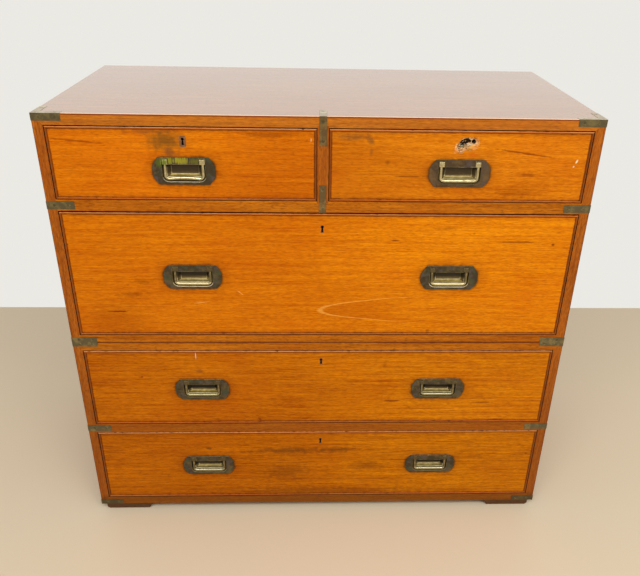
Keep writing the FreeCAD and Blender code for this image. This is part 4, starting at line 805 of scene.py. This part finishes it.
def recess_path():
    """The edge of a handle recess and of its two knuckle pockets, as (x, z) points round the loop.

    It runs clockwise seen from the front. The two lower corners are quarter circles.
    """
    turn = np.linspace(0, np.pi / 2, 7)
    right = np.column_stack((RECESS_HALF - RECESS_CORNER + RECESS_CORNER * np.cos(turn),
                             RECESS_BOTTOM + RECESS_CORNER - RECESS_CORNER * np.sin(turn)))
    left = right[::-1] * (-1, 1)
    top_left = [(-RECESS_HALF, POCKET_TOP), (-POCKET_INNER, POCKET_TOP), (-POCKET_INNER, RECESS_TOP)]
    top_right = [(POCKET_INNER, RECESS_TOP), (POCKET_INNER, POCKET_TOP), (RECESS_HALF, POCKET_TOP)]
    return np.array(top_left + top_right + right.tolist() + left.tolist())


def worn_edge(centre, path, y, radius):
    """A round bead along a closed edge, just outside it, at a depth y: (points, faces).

    Each corner of the path is set out along its mitre, the sum of the outward normals of its two edges
    over one plus their dot product. A circle of eight points then runs round the path.
    """
    edge = np.roll(path, -1, axis=0) - path
    normal = np.column_stack((-edge[:, 1], edge[:, 0])) / np.linalg.norm(edge, axis=1)[:, None]
    before = np.roll(normal, 1, axis=0)
    mitre = (normal + before) / (1 + np.sum(normal * before, axis=1))[:, None]
    turn = np.linspace(0, 2 * np.pi, 8, endpoint=False)
    out = radius * (1 + np.cos(turn))
    rise = radius * np.sin(turn)
    ring = path[:, None, :] + mitre[:, None, :] * out[None, :, None]
    points = np.empty(ring.shape[:2] + (3,))
    points[..., 0] = centre.x + ring[..., 0]
    points[..., 1] = y - rise[None, :]
    points[..., 2] = centre.z + ring[..., 1]
    rows, columns = ring.shape[:2]
    index = np.arange(rows * columns).reshape(rows, columns)
    ahead = np.roll(index, -1, axis=0)
    faces = np.stack((index, np.roll(index, -1, axis=1), np.roll(ahead, -1, axis=1), ahead), axis=-1)
    return points.reshape(-1, 3), faces.reshape(-1, 4)


def joined(shapes):
    """Several (points, faces) as one."""
    counts = np.cumsum([0] + [len(points) for points, _ in shapes])
    return (np.concatenate([points for points, _ in shapes]),
            np.concatenate([faces + start for (_, faces), start in zip(shapes, counts)]))


# Each worn edge of a handle plate: its loop, its depth, its radius and its finish.
WORN_EDGES = {
    "recess_lips": (recess_path(), panel_face - PLATE_PROUD, LIP_RADIUS, lip_brass),
    "cup_mouths": (np.array(CUP_MOUTH) * MM, panel_face + LEDGE_DEPTH, CUP_EDGE_RADIUS, cup_edge_wear_and_highlight),
    "cup_floors": (np.array(CUP_FLOOR) * MM, panel_face + CUP_DEPTH, CUP_EDGE_RADIUS, cup_edge_wear_and_highlight),
}
for name in DRAWERS:
    for kind, (path, y, radius, brass) in WORN_EDGES.items():
        points, faces = joined([worn_edge(centre, path, y, radius) for centre in drawer_plates(name)[1]])
        new_piece(name + "_" + kind, points, faces, brass, name + "_drawer")


# ---- The forced lock: torn fibres and bent steel -------------------------------------------------------
def slivers(root, heading, lift, length, width, thickness):
    """Closed slivers, one for each row: (points, faces).

    Each one is a triangle of its width and thickness at a third of its length, joined to a point at each
    end. heading is its direction in the face of the wood, as an angle from +X, and lift is how far its tip
    stands out of the face.
    """
    along = np.column_stack((np.cos(heading), np.zeros_like(heading), np.sin(heading)))
    side = np.column_stack((-np.sin(heading), np.zeros_like(heading), np.cos(heading)))
    out = np.array([0.0, -1.0, 0.0])
    belly = root + along * (length / 3)[:, None] + out * (lift / 3)[:, None]
    tip = root + along * length[:, None] + out * lift[:, None]
    half = side * (width / 2)[:, None]
    points = np.stack((root, tip, belly + half, belly - half, belly + out * thickness[:, None]), axis=1)
    pattern = np.array([(0, 3, 4), (0, 4, 2), (0, 2, 3), (1, 4, 3), (1, 2, 4), (1, 3, 2)])
    faces = pattern[None] + 5 * np.arange(len(root))[:, None, None]
    return points.reshape(-1, 3), faces.reshape(-1, 3)


def torn_fibres():
    """Splinters of raw wood on the rim of the forced lock's hole, and more of them at its lower left.

    The rim is an ellipse turned to the slant of the hole. The roots lie on it, and the fibres run with the
    grain, a little turned.
    """
    random = np.random.default_rng(7)
    count = 64
    around = random.uniform(0, 2 * np.pi, count)
    out_x = np.cos(around) * random.uniform(18, 22, count)
    out_z = np.sin(around) * random.uniform(9, 12, count)
    x = HOLE_X + out_x * np.cos(TORN_SLANT) - out_z * np.sin(TORN_SLANT)
    z = HOLE_Z + out_x * np.sin(TORN_SLANT) + out_z * np.cos(TORN_SLANT)
    low_left = slice(0, count // 4)
    x[low_left] = random.uniform(-9, 6, count // 4)
    z[low_left] = random.uniform(-15, -8, count // 4)
    root = np.column_stack((torn_x + x * MM, np.full(count, panel_face + 0.6 * MM), torn_z + z * MM))
    heading = random.normal(0.2, 0.5, count) + np.where(x > HOLE_X, 0, np.pi)
    return slivers(root, heading, random.uniform(0.4, 1.4, count) * MM, random.uniform(3, 7, count) * MM,
                   random.uniform(0.5, 1.2, count) * MM, random.uniform(0.3, 0.7, count) * MM)


def frayed_fibres(seed, count):
    """Broken fibres that hang from the lower left edge of the hole into its mouth.

    The edge is a line through a few points. The roots are spread along it, and each fibre heads for a point
    in the middle of the hole, turned by chance.
    """
    random = np.random.default_rng(seed)
    edge = np.array([(-6.5, 0.0), (-6.5, -6.5), (-1.5, -11.0), (4.0, -6.5), (9.0, -3.5)])
    aim_x, aim_z = 9, 3
    share = random.uniform(0, len(edge) - 1, count)
    step = share.astype(int)
    start = edge[step] + (edge[step + 1] - edge[step]) * (share - step)[:, None]
    root = np.column_stack((torn_x + start[:, 0] * MM, np.full(count, panel_face + 1.6 * MM),
                            torn_z + start[:, 1] * MM))
    heading = np.arctan2(aim_z - start[:, 1], aim_x - start[:, 0]) + random.normal(0, 0.5, count)
    return slivers(root, heading, random.uniform(0.2, 1.0, count) * MM, random.uniform(4, 9, count) * MM,
                   random.uniform(0.8, 1.5, count) * MM, random.uniform(0.3, 0.6, count) * MM)


def bent_metal(rows):
    """Slivers of metal in the mouth of the hole, one for each row of root x and z from the keyhole in
    millimetres, heading in degrees, length and width in millimetres."""
    x, z, heading, length, width = np.array(rows).T
    root = np.column_stack((torn_x + x * MM, np.full(len(x), panel_face + 2.0 * MM), torn_z + z * MM))
    return slivers(root, np.radians(heading), np.full(len(x), 1.4 * MM), length * MM, width * MM,
                   np.full(len(x), 0.8 * MM))


BRIGHT_BITS = ((17.3, -2.0, 93, 11, 2.0), (7.5, 1.0, -4, 12, 1.7), (19.5, -1.6, 174, 9, 1.8))
DULL_BITS = ((-4.5, -1.0, -12, 11, 1.6), (-4.0, -3.0, -4, 12, 1.2), (-4.0, -4.6, 8, 12, 1.4),
             (-2.0, -6.5, 30, 9, 1.2), (3.0, 2.0, -35, 8, 1.3), (0.0, -2.0, 10, 9, 1.1),
             (5.0, -4.8, 15, 8, 1.2))

points, faces = joined([torn_fibres(), frayed_fibres(11, 34)])
new_piece("torn_fibres", points, faces, torn_wood, "top_right_drawer")
points, faces = frayed_fibres(12, 12)
new_piece("frayed_dirty_fibres", points, faces, foot_wood, "top_right_drawer")
for name, rows, metal in (("torn_lock_steel", BRIGHT_BITS, bare_steel),
                          ("torn_lock_iron", DULL_BITS, grey_iron)):
    points, faces = bent_metal(rows)
    new_piece(name, points, faces, metal, "top_right_drawer")


# ---- Stage: floor, room light and lamps ------------------------------------------------------------------
FLOOR_BACK = 0.72  # where the wall of the room would stand
FLOOR_HALF = 4.0
FLOOR_FRONT = -5.0
LAMP_TINT = "#fffaf2"


def make_floor():
    """A flat floor of pale matt paint that ends behind the chest."""
    mesh = bpy.data.meshes.new("floor")
    corners = [(-FLOOR_HALF, FLOOR_FRONT, 0), (FLOOR_HALF, FLOOR_FRONT, 0), (FLOOR_HALF, FLOOR_BACK, 0),
               (-FLOOR_HALF, FLOOR_BACK, 0)]
    mesh.from_pydata(corners, [], [(0, 1, 2, 3)])
    floor = bpy.data.objects.new("floor", mesh)
    bpy.context.scene.collection.objects.link(floor)
    material, tree = new_material("pale_floor")[:2]
    shader = add(tree, "BsdfPrincipled", {"Base Color": linear("#dccfb8"), "Roughness": 0.7,
                                          "Specular IOR Level": 0.2})
    add(tree, "OutputMaterial", {"Surface": shader})
    mesh.materials.append(material)


def make_world():
    """A pale wall for the camera, a bright room for what the polish reflects and an even light besides.

    The room is brighter with height and towards the back of it, so that polished faces show a soft change.
    """
    world = bpy.data.worlds.new("room")
    bpy.context.scene.world = world
    world.use_nodes = True
    tree = world.node_tree
    tree.nodes.clear()
    path = add(tree, "LightPath").node.outputs
    direction = add(tree, "TexCoord", out="Generated")
    parts = add(tree, "SeparateXYZ", {0: direction}).node.outputs
    high = add(tree, "Math", {0: parts[1], 1: 0.5, 2: parts[2]}, operation="MULTIPLY_ADD")
    bright = add(tree, "MapRange", {"Value": high, 1: -0.3, 2: 0.6, 3: 0.2, 4: 0.93},
                 interpolation_type="SMOOTHSTEP")
    room = add(tree, "Background", {"Color": (1.0, 0.985, 0.95, 1.0), "Strength": bright})
    wall = add(tree, "Background", {"Color": linear("#ebe9e3"), "Strength": 1.0})
    ambient = add(tree, "Background", {"Color": linear("#fff8ee"), "Strength": 0.55})
    lit = add(tree, "MixShader", {0: path["Is Glossy Ray"], 1: ambient, 2: room})
    seen = add(tree, "MixShader", {0: path["Is Camera Ray"], 1: lit, 2: wall})
    add(tree, "OutputWorld", {"Surface": seen})


def add_lamp(name, place, target, width, height, watts):
    """A soft lamp of that width and height at a place, turned to shine at a target."""
    data = bpy.data.lights.new(name, "AREA")
    data.shape = "RECTANGLE"
    data.size = width
    data.size_y = height
    data.energy = watts
    data.color = linear(LAMP_TINT)[:3]
    lamp = bpy.data.objects.new(name, data)
    bpy.context.scene.collection.objects.link(lamp)
    lamp.location = place
    lamp.rotation_euler = (Vector(target) - Vector(place)).to_track_quat("-Z", "Y").to_euler()
    lamp.visible_camera = False


def make_camera():
    """The camera in front of the chest, above it and looking down. Angles in radians, lengths in metres."""
    focal_px = 685.16
    frame_px = 640.0
    centre_px = 338.86
    azimuth, tilt, roll = 0.04349, 0.47743, 0.02265
    data = bpy.data.cameras.new("camera")
    data.sensor_width = 36.0
    data.lens = data.sensor_width * focal_px / frame_px
    data.shift_x = (frame_px / 2 - centre_px) / frame_px
    camera = bpy.data.objects.new("camera", data)
    bpy.context.scene.collection.objects.link(camera)
    camera.location = (-0.01808, -1.40984, 1.18148)
    forward = np.array([math.sin(azimuth) * math.cos(tilt), math.cos(azimuth) * math.cos(tilt),
                        -math.sin(tilt)])
    level = np.array([math.cos(azimuth), -math.sin(azimuth), 0.0])
    upward = np.cross(level, forward)
    right = math.cos(roll) * level + math.sin(roll) * upward
    top = math.cos(roll) * upward - math.sin(roll) * level
    turned = np.column_stack((right, top, -forward))
    camera.rotation_euler = Matrix(turned.tolist()).to_euler()
    bpy.context.scene.camera = camera


make_floor()
make_world()
add_lamp("key_lamp", (0.0, -2.1, 2.7), (0, -0.2, 0.45), width=3.0, height=0.9, watts=62)
add_lamp("side_lamp", (2.3, -1.9, 1.4), (0, -0.2, 0.4), width=1.4, height=1.4, watts=13)
make_camera()
bpy.context.scene.view_settings.view_transform = "Standard"
